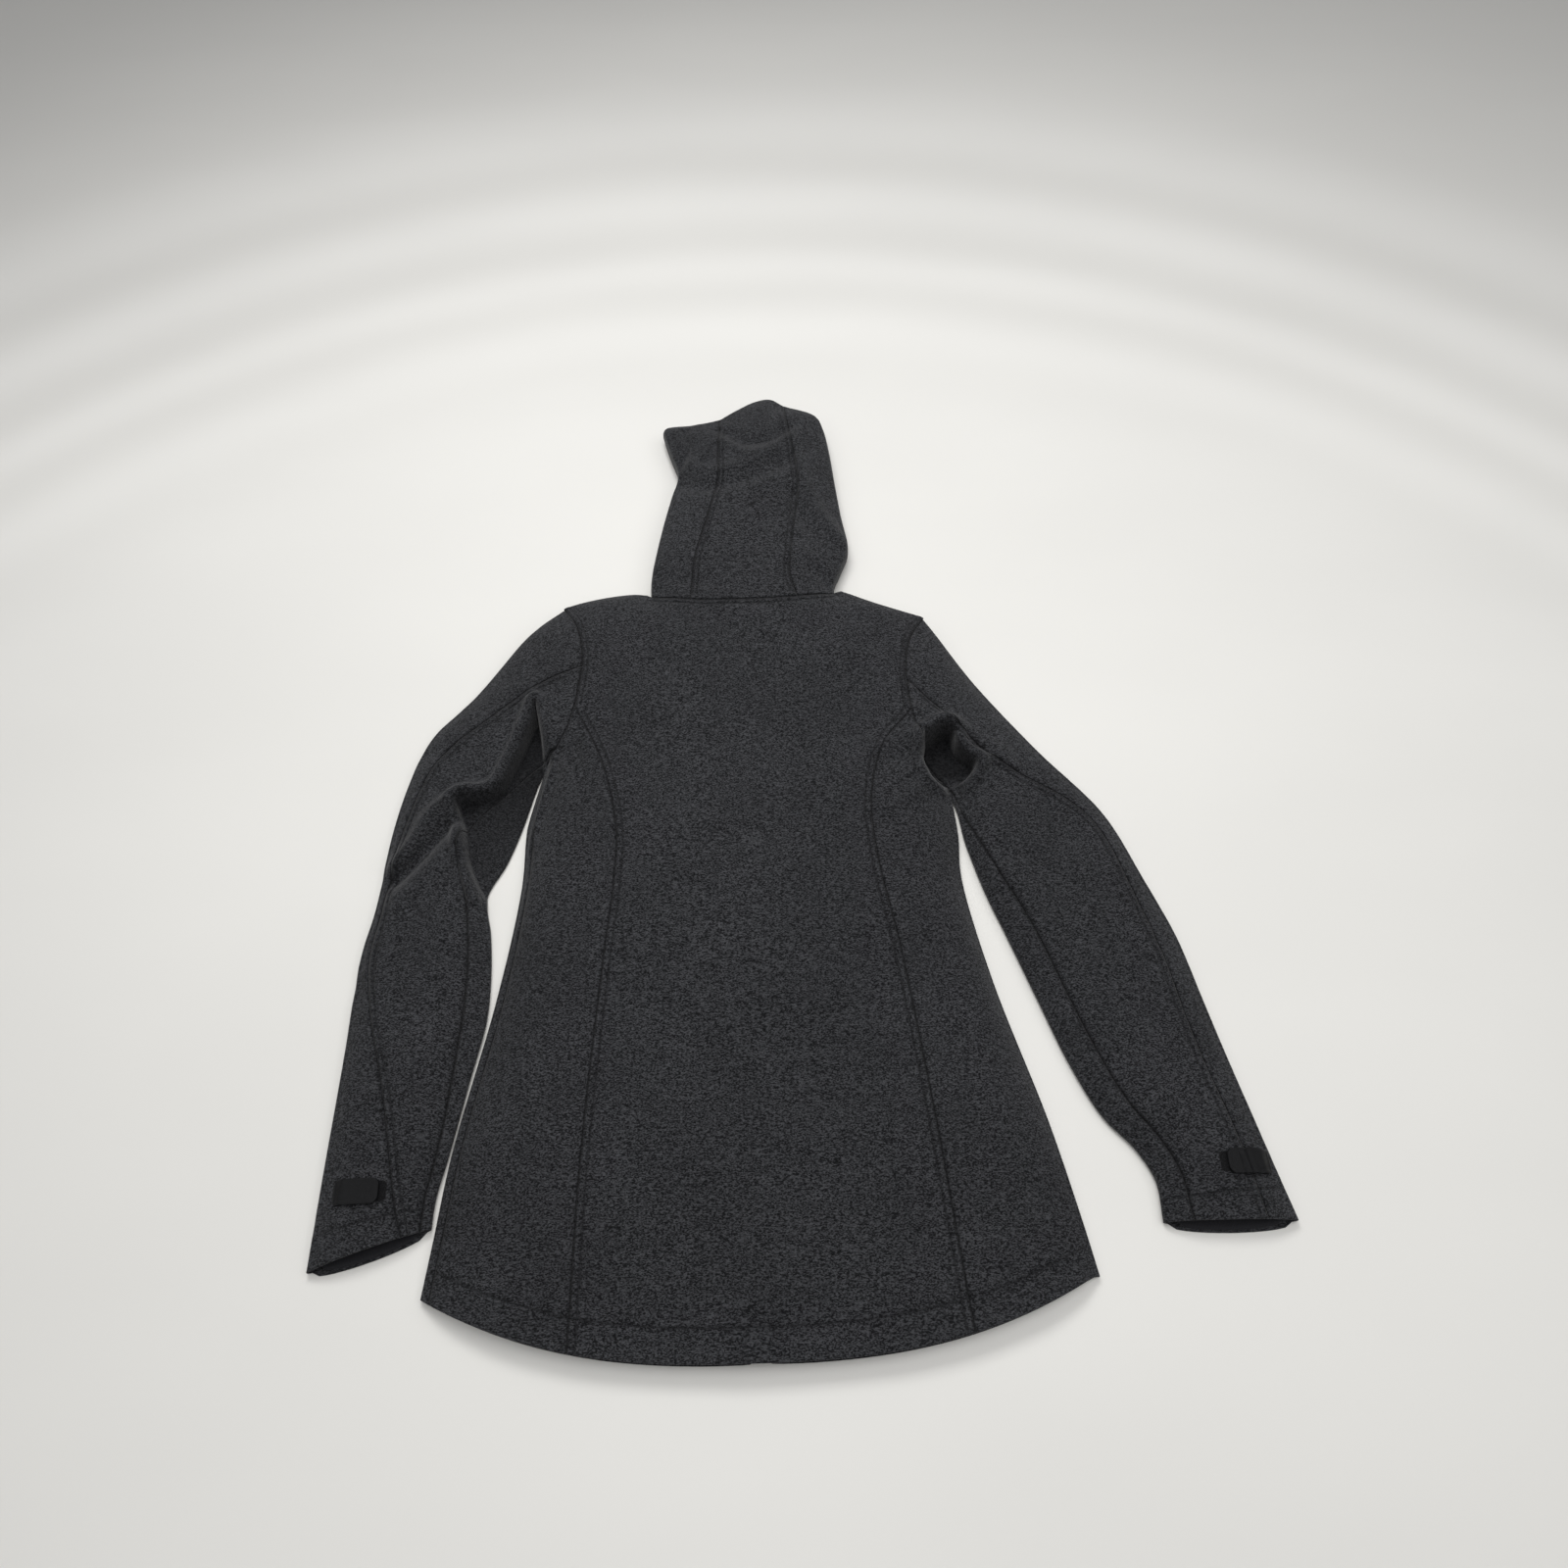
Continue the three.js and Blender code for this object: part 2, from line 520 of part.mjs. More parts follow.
// ---------------------------------------------------------------- inside the back
const LABEL_Y = -BACK_LENGTH + 191; // lower end of the care label on the left side seam
const LABEL_INSET = 40; // from the side seam's fold to the middle of the label
const backHeight = (x, y) => {
  const seamX = (side) => Math.abs(side.princessLine[0][0]);
  if (x < -seamX(left)) return left.onBackSide(x, y);
  if (x > seamX(right)) return right.onBackSide(x, y);
  return onBack[0][1](x, y);
};
{
  const drop = -((CLOTH + FACING) / 2 + AIR + 0.8);
  const low = shifted(hemBetween(-left.hem + 34, right.hem - 34, 12), 0, 2.5);
  const high = shifted(low, 0, HEM_DEPTH);
  const hemGrid = coons(low, high, [low[0], high[0]], [low[12], high[12]]);
  add('hem_facing_back', sheet(hemGrid, backHeight, FACING, drop), liningCloth);

  const neckEnd = NECK_HALF - 34;
  const neckLow = range(17).map((i) => [lerp(-neckEnd, neckEnd, i / 16), -32]);
  const neckSide = (i) => range(6).map((k) => [neckLow[i][0], lerp(-32, -32 + HEM_DEPTH, k / 5)]);
  const neckGrid = coons(neckLow, shifted(neckLow, 0, HEM_DEPTH), neckSide(0), neckSide(16));
  add('neck_facing', sheet(neckGrid, backHeight, FACING, drop), liningCloth);

  const loopLevel = backHeight(0, -15) + drop - 5;
  const loopHole = rectangle(-22, 22, -20.5, -10.5);
  add('hanger_loop', plate(rectangle(-27, 27, -24.5, -6.5), [loopHole], loopLevel, 1.4), liningCloth);

  const labelX = -outwardAt(left.side, LABEL_Y) + LABEL_INSET;
  const [labelHalf, labelTall] = [13, 47];
  const label = block(labelX - labelHalf, labelX + labelHalf, LABEL_Y, LABEL_Y + labelTall, 5.2, 5.7);
  add('care_label', label, finish(0x2a2a2c, 0.8));
}

// ---------------------------------------------------------------- zips
const wasm = await ManifoldModule();
wasm.setup();

function solidOf(geometry) {
  const bare = geometry.clone();
  bare.deleteAttribute('normal');
  bare.deleteAttribute('uv');
  const merged = mergeVertices(bare, 1e-4);
  return new wasm.Manifold(new wasm.Mesh({
    numProp: 3,
    vertProperties: new Float32Array(merged.attributes.position.array),
    triVerts: new Uint32Array(merged.index.array),
  }));
}

// One solid from several overlapping ones
function joined(...geometries) {
  const union = geometries.map(solidOf).reduce((sum, solid) => sum.add(solid));
  const mesh = union.getMesh();
  const geometry = new THREE.BufferGeometry();
  geometry.setAttribute('position', new THREE.Float32BufferAttribute(mesh.vertProperties, 3));
  geometry.setIndex(Array.from(mesh.triVerts));
  return geometry.toNonIndexed();
}

const plateGap = COIL / 2 + SLIDER_AIR; // from the zip plane to the inner face of each slider plate
const BAG_LEVEL = ZIP_LEVEL + plateGap + SLIDER_PLATE + BAG_AIR; // underside of the pocket bags and flap
const SLIDER_BOTTOM = ZIP_LEVEL - plateGap - SLIDER_PLATE;
const BRIDGE_GAP = PULL_THICK + 0.8;
const PULL_AXIS = SLIDER_BOTTOM - BRIDGE_GAP / 2;

// Two plates joined by the nose post between the chain halves, with the pull's bridge outside
function slider(x, y) {
  const z = ZIP_LEVEL;
  const long = SLIDER_LENGTH / 2;
  const overlap = 0.1;
  return joined(
    block(x - SLIDER_HALF, x + SLIDER_HALF, y - long, y + long, SLIDER_BOTTOM, z - plateGap),
    block(x - SLIDER_HALF, x + SLIDER_HALF, y - long, y + long, z + plateGap, z + plateGap + SLIDER_PLATE),
    block(x - COIL_GAP / 2, x + COIL_GAP / 2, y + 2, y + 6, z - plateGap - overlap, z + plateGap + overlap),
    block(x - 1.2, x + 1.2, y - 3.5, y - 2.5, SLIDER_BOTTOM - BRIDGE_GAP - 1, SLIDER_BOTTOM + overlap),
    block(x - 1.2, x + 1.2, y + 2.5, y + 3.5, SLIDER_BOTTOM - BRIDGE_GAP - 1, SLIDER_BOTTOM + overlap),
    block(x - 1.2, x + 1.2, y - 3.5, y + 3.5, SLIDER_BOTTOM - BRIDGE_GAP - 1, SLIDER_BOTTOM - BRIDGE_GAP),
  );
}

// A flat pull that hangs towards the hem, with the eye through which the slider's bridge passes
function pull(x, y) {
  const halfWidth = PULL_WIDTH / 2;
  const end = y - PULL_LENGTH;
  const outline = [
    [x - halfWidth, y + 0.5], [x - halfWidth, end + 2], [x - halfWidth + 1.5, end],
    [x + halfWidth - 1.5, end], [x + halfWidth, end + 2], [x + halfWidth, y + 0.5],
  ];
  const eye = rectangle(x - 1.9, x + 1.9, y - 4.6, y - 0.5);
  return plate(outline, [eye], PULL_AXIS - PULL_THICK / 2, PULL_THICK);
}

const zMid = (thick) => [ZIP_LEVEL - thick / 2, ZIP_LEVEL + thick / 2];
const coilOuter = COIL_GAP + COIL;
const TAPE_INNER = coilOuter + AIR;

// Front zip: a separating chain from the hem to the top of the collar
const ZIP_TOP = -3;
const ZIP_BOTTOM = hemCurve(0) + 4;
const STOP = 5;
const BOX_LENGTH = 10;
const frontSliderY = ZIP_TOP - STOP - 2 - SLIDER_LENGTH / 2;
for (const [name, side] of Object.entries(SIDES)) {
  const span = (a, b, y0, y1, thick) => {
    const [x0, x1] = side.sign < 0 ? [-b, -a] : [a, b];
    return block(x0, x1, y0, y1, ...zMid(thick));
  };
  const chainEnd = ZIP_BOTTOM + BOX_LENGTH + (side.sign > 0 ? 8 : 0.5);
  const tape = span(TAPE_INNER, TAPE_INNER + TAPE_WIDTH, ZIP_BOTTOM, ZIP_TOP, TAPE);
  add(`front_zip_tape_${name}`, tape, liningCloth);
  add(`front_zip_chain_${name}`, span(COIL_GAP, coilOuter, chainEnd, ZIP_TOP - STOP - 0.4, COIL), zipPlastic);
  add(`front_zip_top_stop_${name}`, span(COIL_GAP, coilOuter, ZIP_TOP - STOP, ZIP_TOP, 3), paintedMetal);
}
{
  const outline = rectangle(-coilOuter, coilOuter, ZIP_LEVEL - 2, ZIP_LEVEL + 2);
  const socket = rectangle(COIL_GAP, coilOuter - 0.5, ZIP_LEVEL - 1.1, ZIP_LEVEL + 1.1);
  const standing = plate(outline, [socket], 0, BOX_LENGTH).rotateX(Math.PI / 2);
  add('front_zip_box', standing.translate(0, ZIP_BOTTOM + BOX_LENGTH, 0), zipPlastic);
  const pinX = (COIL_GAP + coilOuter - 0.5) / 2;
  const pinTop = ZIP_BOTTOM + BOX_LENGTH + 7.5;
  const pin = block(pinX - 0.7, pinX + 0.7, ZIP_BOTTOM + 0.5, pinTop, ...zMid(1.4));
  add('front_zip_pin', pin, zipPlastic);
}
add('front_zip_slider', slider(0, frontSliderY), paintedMetal);
add('front_zip_pull', pull(0, frontSliderY), paintedMetal);
add('wind_flap', block(-6, 26, ZIP_BOTTOM + 2, -36, BAG_LEVEL, BAG_LEVEL + FACING), softshell);
add('chin_guard', block(-14, 20, -33, -2.5, BAG_LEVEL, BAG_LEVEL + FACING), liningCloth);

// Pocket zips: closed at both ends, with the slider at the top when shut
const pocketSliderY = POCKET_TOP - 3 - SLIDER_LENGTH / 2;
for (const [name, side] of Object.entries(SIDES)) {
  const x = side.sign * POCKET_X;
  const [low, high] = [POCKET_BOTTOM - 9, POCKET_TOP + 9];
  const tapeHalf = TAPE_INNER + TAPE_WIDTH - 2;
  const tape = plate(
    rectangle(x - tapeHalf, x + tapeHalf, low, high),
    [rectangle(x - TAPE_INNER, x + TAPE_INNER, POCKET_BOTTOM - 2, POCKET_TOP + 2)],
    ZIP_LEVEL - TAPE / 2,
    TAPE,
  );
  add(`pocket_zip_tape_${name}`, tape, liningCloth);
  const chain = plate([
    [x - coilOuter, POCKET_BOTTOM - 1], [x + coilOuter, POCKET_BOTTOM - 1], [x + coilOuter, POCKET_TOP],
    [x + COIL_GAP, POCKET_TOP], [x + COIL_GAP, POCKET_BOTTOM + 2], [x - COIL_GAP, POCKET_BOTTOM + 2],
    [x - COIL_GAP, POCKET_TOP], [x - coilOuter, POCKET_TOP],
  ], [], ZIP_LEVEL - COIL / 2, COIL);
  add(`pocket_zip_chain_${name}`, chain, zipPlastic);
  add(`pocket_zip_slider_${name}`, slider(x, pocketSliderY), paintedMetal);
  add(`pocket_zip_pull_${name}`, pull(x, pocketSliderY), paintedMetal);
  const bag = [
    [POCKET_X + 7, POCKET_TOP + 12], [POCKET_X - 60, POCKET_TOP + 6], [POCKET_X - 96, POCKET_TOP - 30],
    [POCKET_X - 96, POCKET_BOTTOM - 22], [POCKET_X - 80, POCKET_BOTTOM - 38],
    [POCKET_X - 10, POCKET_BOTTOM - 34], [POCKET_X + 7, POCKET_BOTTOM - 14],
  ];
  add(`pocket_bag_${name}`, plate(outwards(side, bag), [], BAG_LEVEL, 2.2), liningCloth);
}

// ---------------------------------------------------------------- sleeves
const splineOf = (points) => {
  const knots = points.map(([x, y]) => new THREE.Vector3(x, y, 0));
  const curve = new THREE.CatmullRomCurve3(knots, false, 'centripetal');
  return (t) => {
    const p = curve.getPointAt(Math.min(1, Math.max(0, t)));
    return [p.x, p.y];
  };
};
// A point at a share of the length of a line with straight pieces
const polylineOf = (points) => {
  const path = new THREE.CurvePath();
  for (let i = 1; i < points.length; i += 1) {
    path.add(new THREE.LineCurve(new THREE.Vector2(...points[i - 1]), new THREE.Vector2(...points[i])));
  }
  return (t) => path.getPointAt(Math.min(1, Math.max(0, t))).toArray();
};
const ARMHOLE_GAP = 2.2 * CLOTH; // from the armhole seam to the middle of the sleeve head's edge

// Plan point of a sleeve: s runs from the armhole to the cuff, w from the outer to the inner edge
function sleevePlan(side) {
  const outer = splineOf(side.outer);
  const inner = splineOf(side.inner);
  const seam = [...[...side.armholeLine].reverse(), ...side.underarmLine.slice(1)];
  const head = polylineOf(shifted(seam, side.sign * ARMHOLE_GAP));
  return (s, w) => {
    const across = mix(outer(s), inner(s), w);
    const straight = mix(outer(0), inner(0), w);
    const fade = (1 - s) ** (3 + 24 * w ** 3); // the armhole's curve dies out soonest at the underarm
    return across.map((value, axis) => value + fade * (head(w)[axis] - straight[axis]));
  };
}

// Three points round a fold, from the upper cloth at top down to the height low
function foldPoints(top, low, outward) {
  const radius = (top[2] - low) / 2;
  return [[0.8, 0.8], [1, 0.5], [0.8, 0.2]].map(([out, up]) => {
    return [top[0] + outward[0] * radius * out, top[1] + outward[1] * radius * out, lerp(low, top[2], up)];
  });
}
const unit = (from, to) => {
  const length = Math.hypot(to[0] - from[0], to[1] - from[1]);
  return [(to[0] - from[0]) / length, (to[1] - from[1]) / length];
};
const shares = (a, b, count) => range(count + 1).map((k) => lerp(a, b, k / count));
const WRAP_STRIP = 3;
const CUFF_DROP = (CLOTH + FACING) / 2 + 2 * AIR; // from the sleeve cloth's middle to the facing's
const CUFF_INSET = 2 * FOLD_RADIUS + 1.5 * CLOTH;

// One ring of a sleeve at s: from w0 on the back, round the outer edge, the front and the inner edge to w1
function sleeveRing(plan, s, w0, w1, inset = 0, drop = 0) {
  const [o, i] = [plan(s, 0), plan(s, 1)];
  const edge = (inset + FOLD_RADIUS + CLOTH / 2) / Math.hypot(o[0] - i[0], o[1] - i[1]);
  const low = CLOTH / 2 + drop;
  const top = (w) => {
    const [x, y] = plan(s, w);
    return [x, y, upper(x, y) - drop];
  };
  return [
    ...shares(Math.max(w0, edge * 1.6), edge, WRAP_STRIP).map(top),
    ...foldPoints(top(edge), low, unit(i, o)),
    ...shares(edge, 1 - edge, 5).map((w) => [...plan(s, w), low]),
    ...foldPoints(top(1 - edge), low, unit(o, i)).reverse(),
    ...shares(1 - edge, Math.min(w1, 1 - edge * 1.6), 2).map(top),
  ];
}

for (const [name, side] of Object.entries(SIDES)) {
  const plan = sleevePlan(side);
  const width = (s) => Math.hypot(plan(s, 0)[0] - plan(s, 1)[0], plan(s, 0)[1] - plan(s, 1)[1]);
  const stations = shares(0.004, 1, SLEEVE_ROWS);
  const edge = (s) => (FOLD_RADIUS + CLOTH / 2) / width(s);
  // The seam's air is wider where the head is steep and thick cloth edges lean towards each other
  const gap = (s) => (half + 1.4 * CLOTH * (1 - s) ** 6) / width(s);
  const seamAt = (s) => Math.max(valueAt(side.seam, s), edge(s) * 1.6 + gap(s));
  const underAt = (s) => Math.min(side.underSeam, 1 - edge(s) * 1.6 - gap(s));
  const wrapRows = stations.map((s) => sleeveRing(plan, s, seamAt(s) - gap(s), underAt(s) + gap(s)));
  add(`sleeve_front_${name}`, wrapped(wrapRows), softshell);
  const strip = stations.map((s) => {
    return shares(seamAt(s) + gap(s), underAt(s) - gap(s), 5).map((w) => plan(s, w));
  });
  add(`sleeve_back_${name}`, wrapped(raised(strip, upper)), softshell);

  const cuffRows = shares(0.962, 0.998, 2).map((s) => {
    return sleeveRing(plan, s, 0.5, 0.5, CUFF_INSET, CUFF_DROP).slice(0, -1);
  });
  add(`cuff_facing_${name}`, wrapped(cuffRows, FACING, true), liningCloth);

  // Cuff tab: sewn down at its outer end, held by a hook patch on a loop patch
  const onSleeve = facets(wrapRows.map((row) => row.slice(0, WRAP_STRIP + 1)), raised(strip, upper));
  const tabY = plan(1, 0.4)[1] + side.tabUp;
  const sewnEnd = plan(1, 0)[0] - side.sign * side.tabInset;
  const clear = (x, y) => onSleeve(x, y) + CLOTH * 0.75 + AIR;
  const area = (from, to, inset) => {
    const [x0, x1] = [sewnEnd - side.sign * from, sewnEnd - side.sign * to];
    const [y0, y1] = [tabY - TAB_WIDTH / 2 + inset, tabY + TAB_WIDTH / 2 - inset];
    const row = (y) => shares(x0, x1, 6).map((x) => [x, y]);
    const column = (x) => shares(y0, y1, 3).map((y) => [x, y]);
    return coons(row(y0), row(y1), column(x0), column(x1));
  };
  const patchRise = PATCH / 2;
  const hookRise = PATCH * 1.5 + 1.3 * AIR;
  const tabRise = (x) => {
    const along = Math.abs(sewnEnd - x);
    return TAB_THICK / 2 + (2 * PATCH + 3 * AIR) * smooth(along / 9);
  };
  add(`loop_patch_${name}`, sheet(area(11, TAB_LENGTH + 6, 2), clear, PATCH, patchRise), hookTape);
  add(`hook_patch_${name}`, sheet(area(14, TAB_LENGTH - 2, 2), clear, PATCH, hookRise), hookTape);
  const tabHeight = (x, y) => clear(x, y) + tabRise(x);
  const tab = add(`cuff_tab_${name}`, sheet(area(0, TAB_LENGTH, 0), tabHeight, TAB_THICK), zipPlastic);
  tab.userData.pivot = [sewnEnd, tabY, tabHeight(sewnEnd, tabY)];
}

// ---------------------------------------------------------------- hood
const EDGE_INSET = FOLD_RADIUS + CLOTH / 2;
const HOOD_GAP = 0.4; // half of the air in a hood seam, wider because it runs round the crest's fold
const CREST_STRIP = 6; // from the folded crest back to the first row of the hood's centre panel
const BRIM_ROW = 6; // row of the face edge on which the brim ends
const HOOD_COLUMNS = 5;
for (const [name, side] of Object.entries(SIDES)) {
  side.hoodSeamLine = outwards(side, through(side.hoodSeam, HOOD_ROWS));
  side.hoodEdgeLine = outwards(side, through(side.hoodSide, HOOD_ROWS));
  side.faceLine = outwards(side, through(side.faceEdge, HOOD_ROWS));
  const rows = range(HOOD_ROWS + 1).map((k) => {
    const seam = [side.hoodSeamLine[k][0] + side.sign * HOOD_GAP, side.hoodSeamLine[k][1]];
    const face = [side.faceLine[k][0] + side.sign * HOOD_GAP, side.faceLine[k][1]];
    const edgePoint = side.hoodEdgeLine[k];
    const inset = (target) => {
      const [dx, dy] = unit(edgePoint, target);
      return [edgePoint[0] + dx * EDGE_INSET, edgePoint[1] + dy * EDGE_INSET];
    };
    const fold = inset(seam);
    const [over] = raised([shares(0, 1, 4).map((t) => mix(seam, fold, 1 - (1 - t) ** 1.4))], upper);
    const [under] = raised([shares(0, 1, 4).map((t) => mix(fold, face, t))], lower);
    return [...over, ...foldPoints(over.at(-1), CLOTH / 2, unit(seam, edgePoint)), ...under];
  });
  add(`hood_side_${name}`, wrapped(rows), softshell);
}
{
  const inner = (line) => (side) => shifted(line(side), -side.sign * HOOD_GAP);
  const seam = inner((side) => side.hoodSeamLine);
  const face = inner((side) => side.faceLine);
  const crest = through(HOOD_CREST, HOOD_COLUMNS);
  const crestRow = pinned(shifted(crest, 0, -CREST_STRIP), seam(left).at(-1), seam(right).at(-1));
  const neckRow = range(HOOD_COLUMNS + 1).map((i) => {
    return mix(seam(left)[0], seam(right)[0], i / HOOD_COLUMNS);
  });
  const over = raised(coons(neckRow, crestRow, seam(left), seam(right)), upper);
  const [foldStart] = raised([shifted(crestRow, 0, CREST_STRIP - EDGE_INSET)], upper);
  const folds = foldStart.map((point) => foldPoints(point, CLOTH / 2, [0, 1]));
  const brimRows = range(HOOD_ROWS - BRIM_ROW + 1).map((i) => HOOD_ROWS - i);
  const underRow = pinned(crestRow, face(left).at(-1), face(right).at(-1));
  const brimRow = range(HOOD_COLUMNS + 1).map((i) => {
    const [x, y] = mix(face(left)[BRIM_ROW], face(right)[BRIM_ROW], i / HOOD_COLUMNS);
    return [x, y + 6 * Math.sin((Math.PI * i) / HOOD_COLUMNS)];
  });
  const under = coons(
    underRow,
    brimRow,
    brimRows.map((k) => face(left)[k]),
    brimRows.map((k) => face(right)[k]),
  ).map((row) => row.map(([x, y]) => [x, y, CLOTH / 2]));
  const rows = [...over, foldStart, ...range(3).map((k) => folds.map((points) => points[k])), ...under];
  add('hood_center_panel', wrapped(rows), softshell);

  const low = shifted(brimRow, 0, 2).slice(1, -1);
  const high = shifted(low, 0, 20);
  const ends = (i) => [low[i], high[i]];
  const level = () => CLOTH / 2 + (CLOTH + FACING) / 2 + AIR;
  add('hood_brim_facing', sheet(coons(low, high, ends(0), ends(low.length - 1)), level, FACING), liningCloth);
}

// ---------------------------------------------------------------- placing
const bounds = new THREE.Box3().setFromObject(group);
const middle = bounds.getCenter(new THREE.Vector3());
group.position.set(-middle.x, -middle.y, -bounds.min.z);

export default group;
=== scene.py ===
"""A hooded softshell jacket that lies front side down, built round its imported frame.

Plan points and heights are millimetres in the jacket's own frame: x to the right, y from the hem to the
hood, and zero at the middle of the back neck seam, on the table. Meshes are made in metres.
"""

import math

import bpy
import numpy as np
from bpy.props import FloatProperty, FloatVectorProperty, PointerProperty
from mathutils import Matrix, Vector


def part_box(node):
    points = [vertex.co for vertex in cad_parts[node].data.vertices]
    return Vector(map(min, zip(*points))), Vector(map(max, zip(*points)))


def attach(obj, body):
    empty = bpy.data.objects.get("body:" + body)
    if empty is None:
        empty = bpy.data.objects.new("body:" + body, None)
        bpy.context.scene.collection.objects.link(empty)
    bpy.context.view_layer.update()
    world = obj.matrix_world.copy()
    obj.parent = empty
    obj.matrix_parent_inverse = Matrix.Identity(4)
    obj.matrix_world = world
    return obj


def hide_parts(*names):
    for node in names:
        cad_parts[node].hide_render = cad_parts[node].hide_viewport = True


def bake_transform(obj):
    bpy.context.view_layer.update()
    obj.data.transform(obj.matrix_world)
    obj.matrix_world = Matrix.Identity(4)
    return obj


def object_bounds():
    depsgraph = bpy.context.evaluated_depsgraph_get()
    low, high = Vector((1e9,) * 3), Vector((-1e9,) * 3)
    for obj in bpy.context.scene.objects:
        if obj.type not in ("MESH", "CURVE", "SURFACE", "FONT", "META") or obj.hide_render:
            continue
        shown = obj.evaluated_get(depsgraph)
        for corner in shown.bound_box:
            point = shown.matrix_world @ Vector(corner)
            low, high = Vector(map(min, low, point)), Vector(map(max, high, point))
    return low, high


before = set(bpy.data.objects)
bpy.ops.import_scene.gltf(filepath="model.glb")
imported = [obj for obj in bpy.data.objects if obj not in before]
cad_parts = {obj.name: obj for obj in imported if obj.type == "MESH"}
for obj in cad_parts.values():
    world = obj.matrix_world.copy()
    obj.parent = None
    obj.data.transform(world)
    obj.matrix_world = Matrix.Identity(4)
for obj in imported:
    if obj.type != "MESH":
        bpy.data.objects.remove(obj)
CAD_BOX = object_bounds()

bl_info = {
    "name": "Softshell jacket",
    "version": (1, 0, 0),
    "blender": (4, 5, 0),
    "location": "3D View > Sidebar > Jacket",
    "description": "Builds the cloth, stitching, zips and tabs of a hooded softshell jacket",
    "category": "Object",
}

MM = 0.001
ZIP_MIDDLE = sum(corner.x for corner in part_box("front_zip_slider")) / 2
LOOP_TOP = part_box("hanger_loop")[1].y
LOOP_TOP_Y = -6.5  # the hanger loop's upper edge in the jacket's frame
ORIGIN = np.array([ZIP_MIDDLE, LOOP_TOP - LOOP_TOP_Y * MM, CAD_BOX[0].z])


# ---------------------------------------------------------------- sizes and colours
def length(name, text, millimetres):
    return FloatProperty(name=name, description=text, default=millimetres * MM, unit="LENGTH", precision=4)


def colour(name, text, value):
    return FloatVectorProperty(name=name, description=text, default=value, size=3, subtype="COLOR")


class JacketSizes(bpy.types.PropertyGroup):
    cloth: length("Cloth", "Thickness of the bonded softshell cloth", 1.5)
    facing: length("Facing", "Thickness of facings, flaps and tapes", 0.9)
    loft: length("Body loft", "How far the back lies above the front", 27)
    sleeve_loft: length("Sleeve loft", "How far the upper side of a sleeve lies above the lower", 16)
    topstitch: length("Topstitch", "Distance from a seam to its row of topstitching", 6)
    hem: length("Hem depth", "Turned depth of the hem and cuffs", 25)
    stitch: length("Stitch", "Length of one stitch, with the gap to the next", 3)
    thread: length("Thread", "Thickness of the sewing thread", 0.5)
    tooth: length("Coil pitch", "Distance between two coils of a zip", 1.6)


class JacketColours(bpy.types.PropertyGroup):
    yarn_dark: colour("Dark yarn", "Darkest yarn of the heathered face", (0.0028, 0.0029, 0.0035))
    yarn_light: colour("Light yarn", "Lightest yarn of the heathered face", (0.056, 0.057, 0.0615))
    thread: colour("Thread", "Topstitching thread", (0.006, 0.006, 0.007))
    lining: colour("Lining", "Facings and pocket cloth", (0.010, 0.010, 0.012))
    tab: colour("Tab", "Moulded cuff tabs and zip coils", (0.002, 0.002, 0.0025))
    metal: colour("Zip metal", "Enamelled sliders, pulls and stops", (0.018, 0.018, 0.02))
    floor: colour("Floor", "Glossy pale table", (0.79, 0.778, 0.742))


# ---------------------------------------------------------------- lay of the jacket
# Distances outwards from the centre line, and along the back from the neck seam. sign is -1 on the left.
LEFT = {
    "sign": -1,
    "shoulder": [[103, 10], [118, 12], [146, 9], [172, 3], [193, -4]],
    "armhole": [[193, -4], [177, -33], [168, -76], [173, -135]],
    "underarm": [[173, -135], [182, -163], [200, -189]],
    "side": [[200, -189], [213, -254], [214, -325], [228, -434], [254, -570], [262, -640], [267, -682]],
    "princess": [[173, -135], [143, -201], [126, -276], [126, -330], [132, -404], [144, -580], [149, -724]],
    "sleeve_outer": [
        [194, -4], [229, -36], [284, -111], [321, -158], [336, -207], [345, -262], [350, -343],
        [357, -390], [358, -483], [360, -570], [362, -658],
    ],
    "sleeve_inner": [
        [207, -189], [219, -254], [232, -298], [248, -334], [242, -370], [238, -410], [238, -452],
        [248, -508], [259, -570], [266, -605], [267, -628],
    ],
    "back_seam": [[0, 0.45], [0.2, 0.2], [0.35, 0.12], [0.6, 0.07], [0.8, 0.42], [1, 0.78]],
    "under_seam": [[0, 0.93], [0.16, 0.72], [0.3, 0.62], [0.42, 0.78], [0.6, 0.84], [0.8, 0.9], [1, 0.92]],
    "side_wrap": 6,  # how far the front cloth comes round onto the back along the side seam
    "hood_side": [
        [100, 12], [100, 38], [94, 80], [87, 120], [80, 154], [73, 187], [74, 197], [84, 230], [90, 254],
        [91, 261], [85, 264], [55, 267], [25, 276],
    ],
    "hood_seam": [[57, 0], [53, 52], [40, 110], [27, 174], [27, 205], [25, 270]],
    "face_edge": [[9, 1], [33, 60], [46, 110], [47, 160], [40, 200], [33, 240], [25, 270]],
}
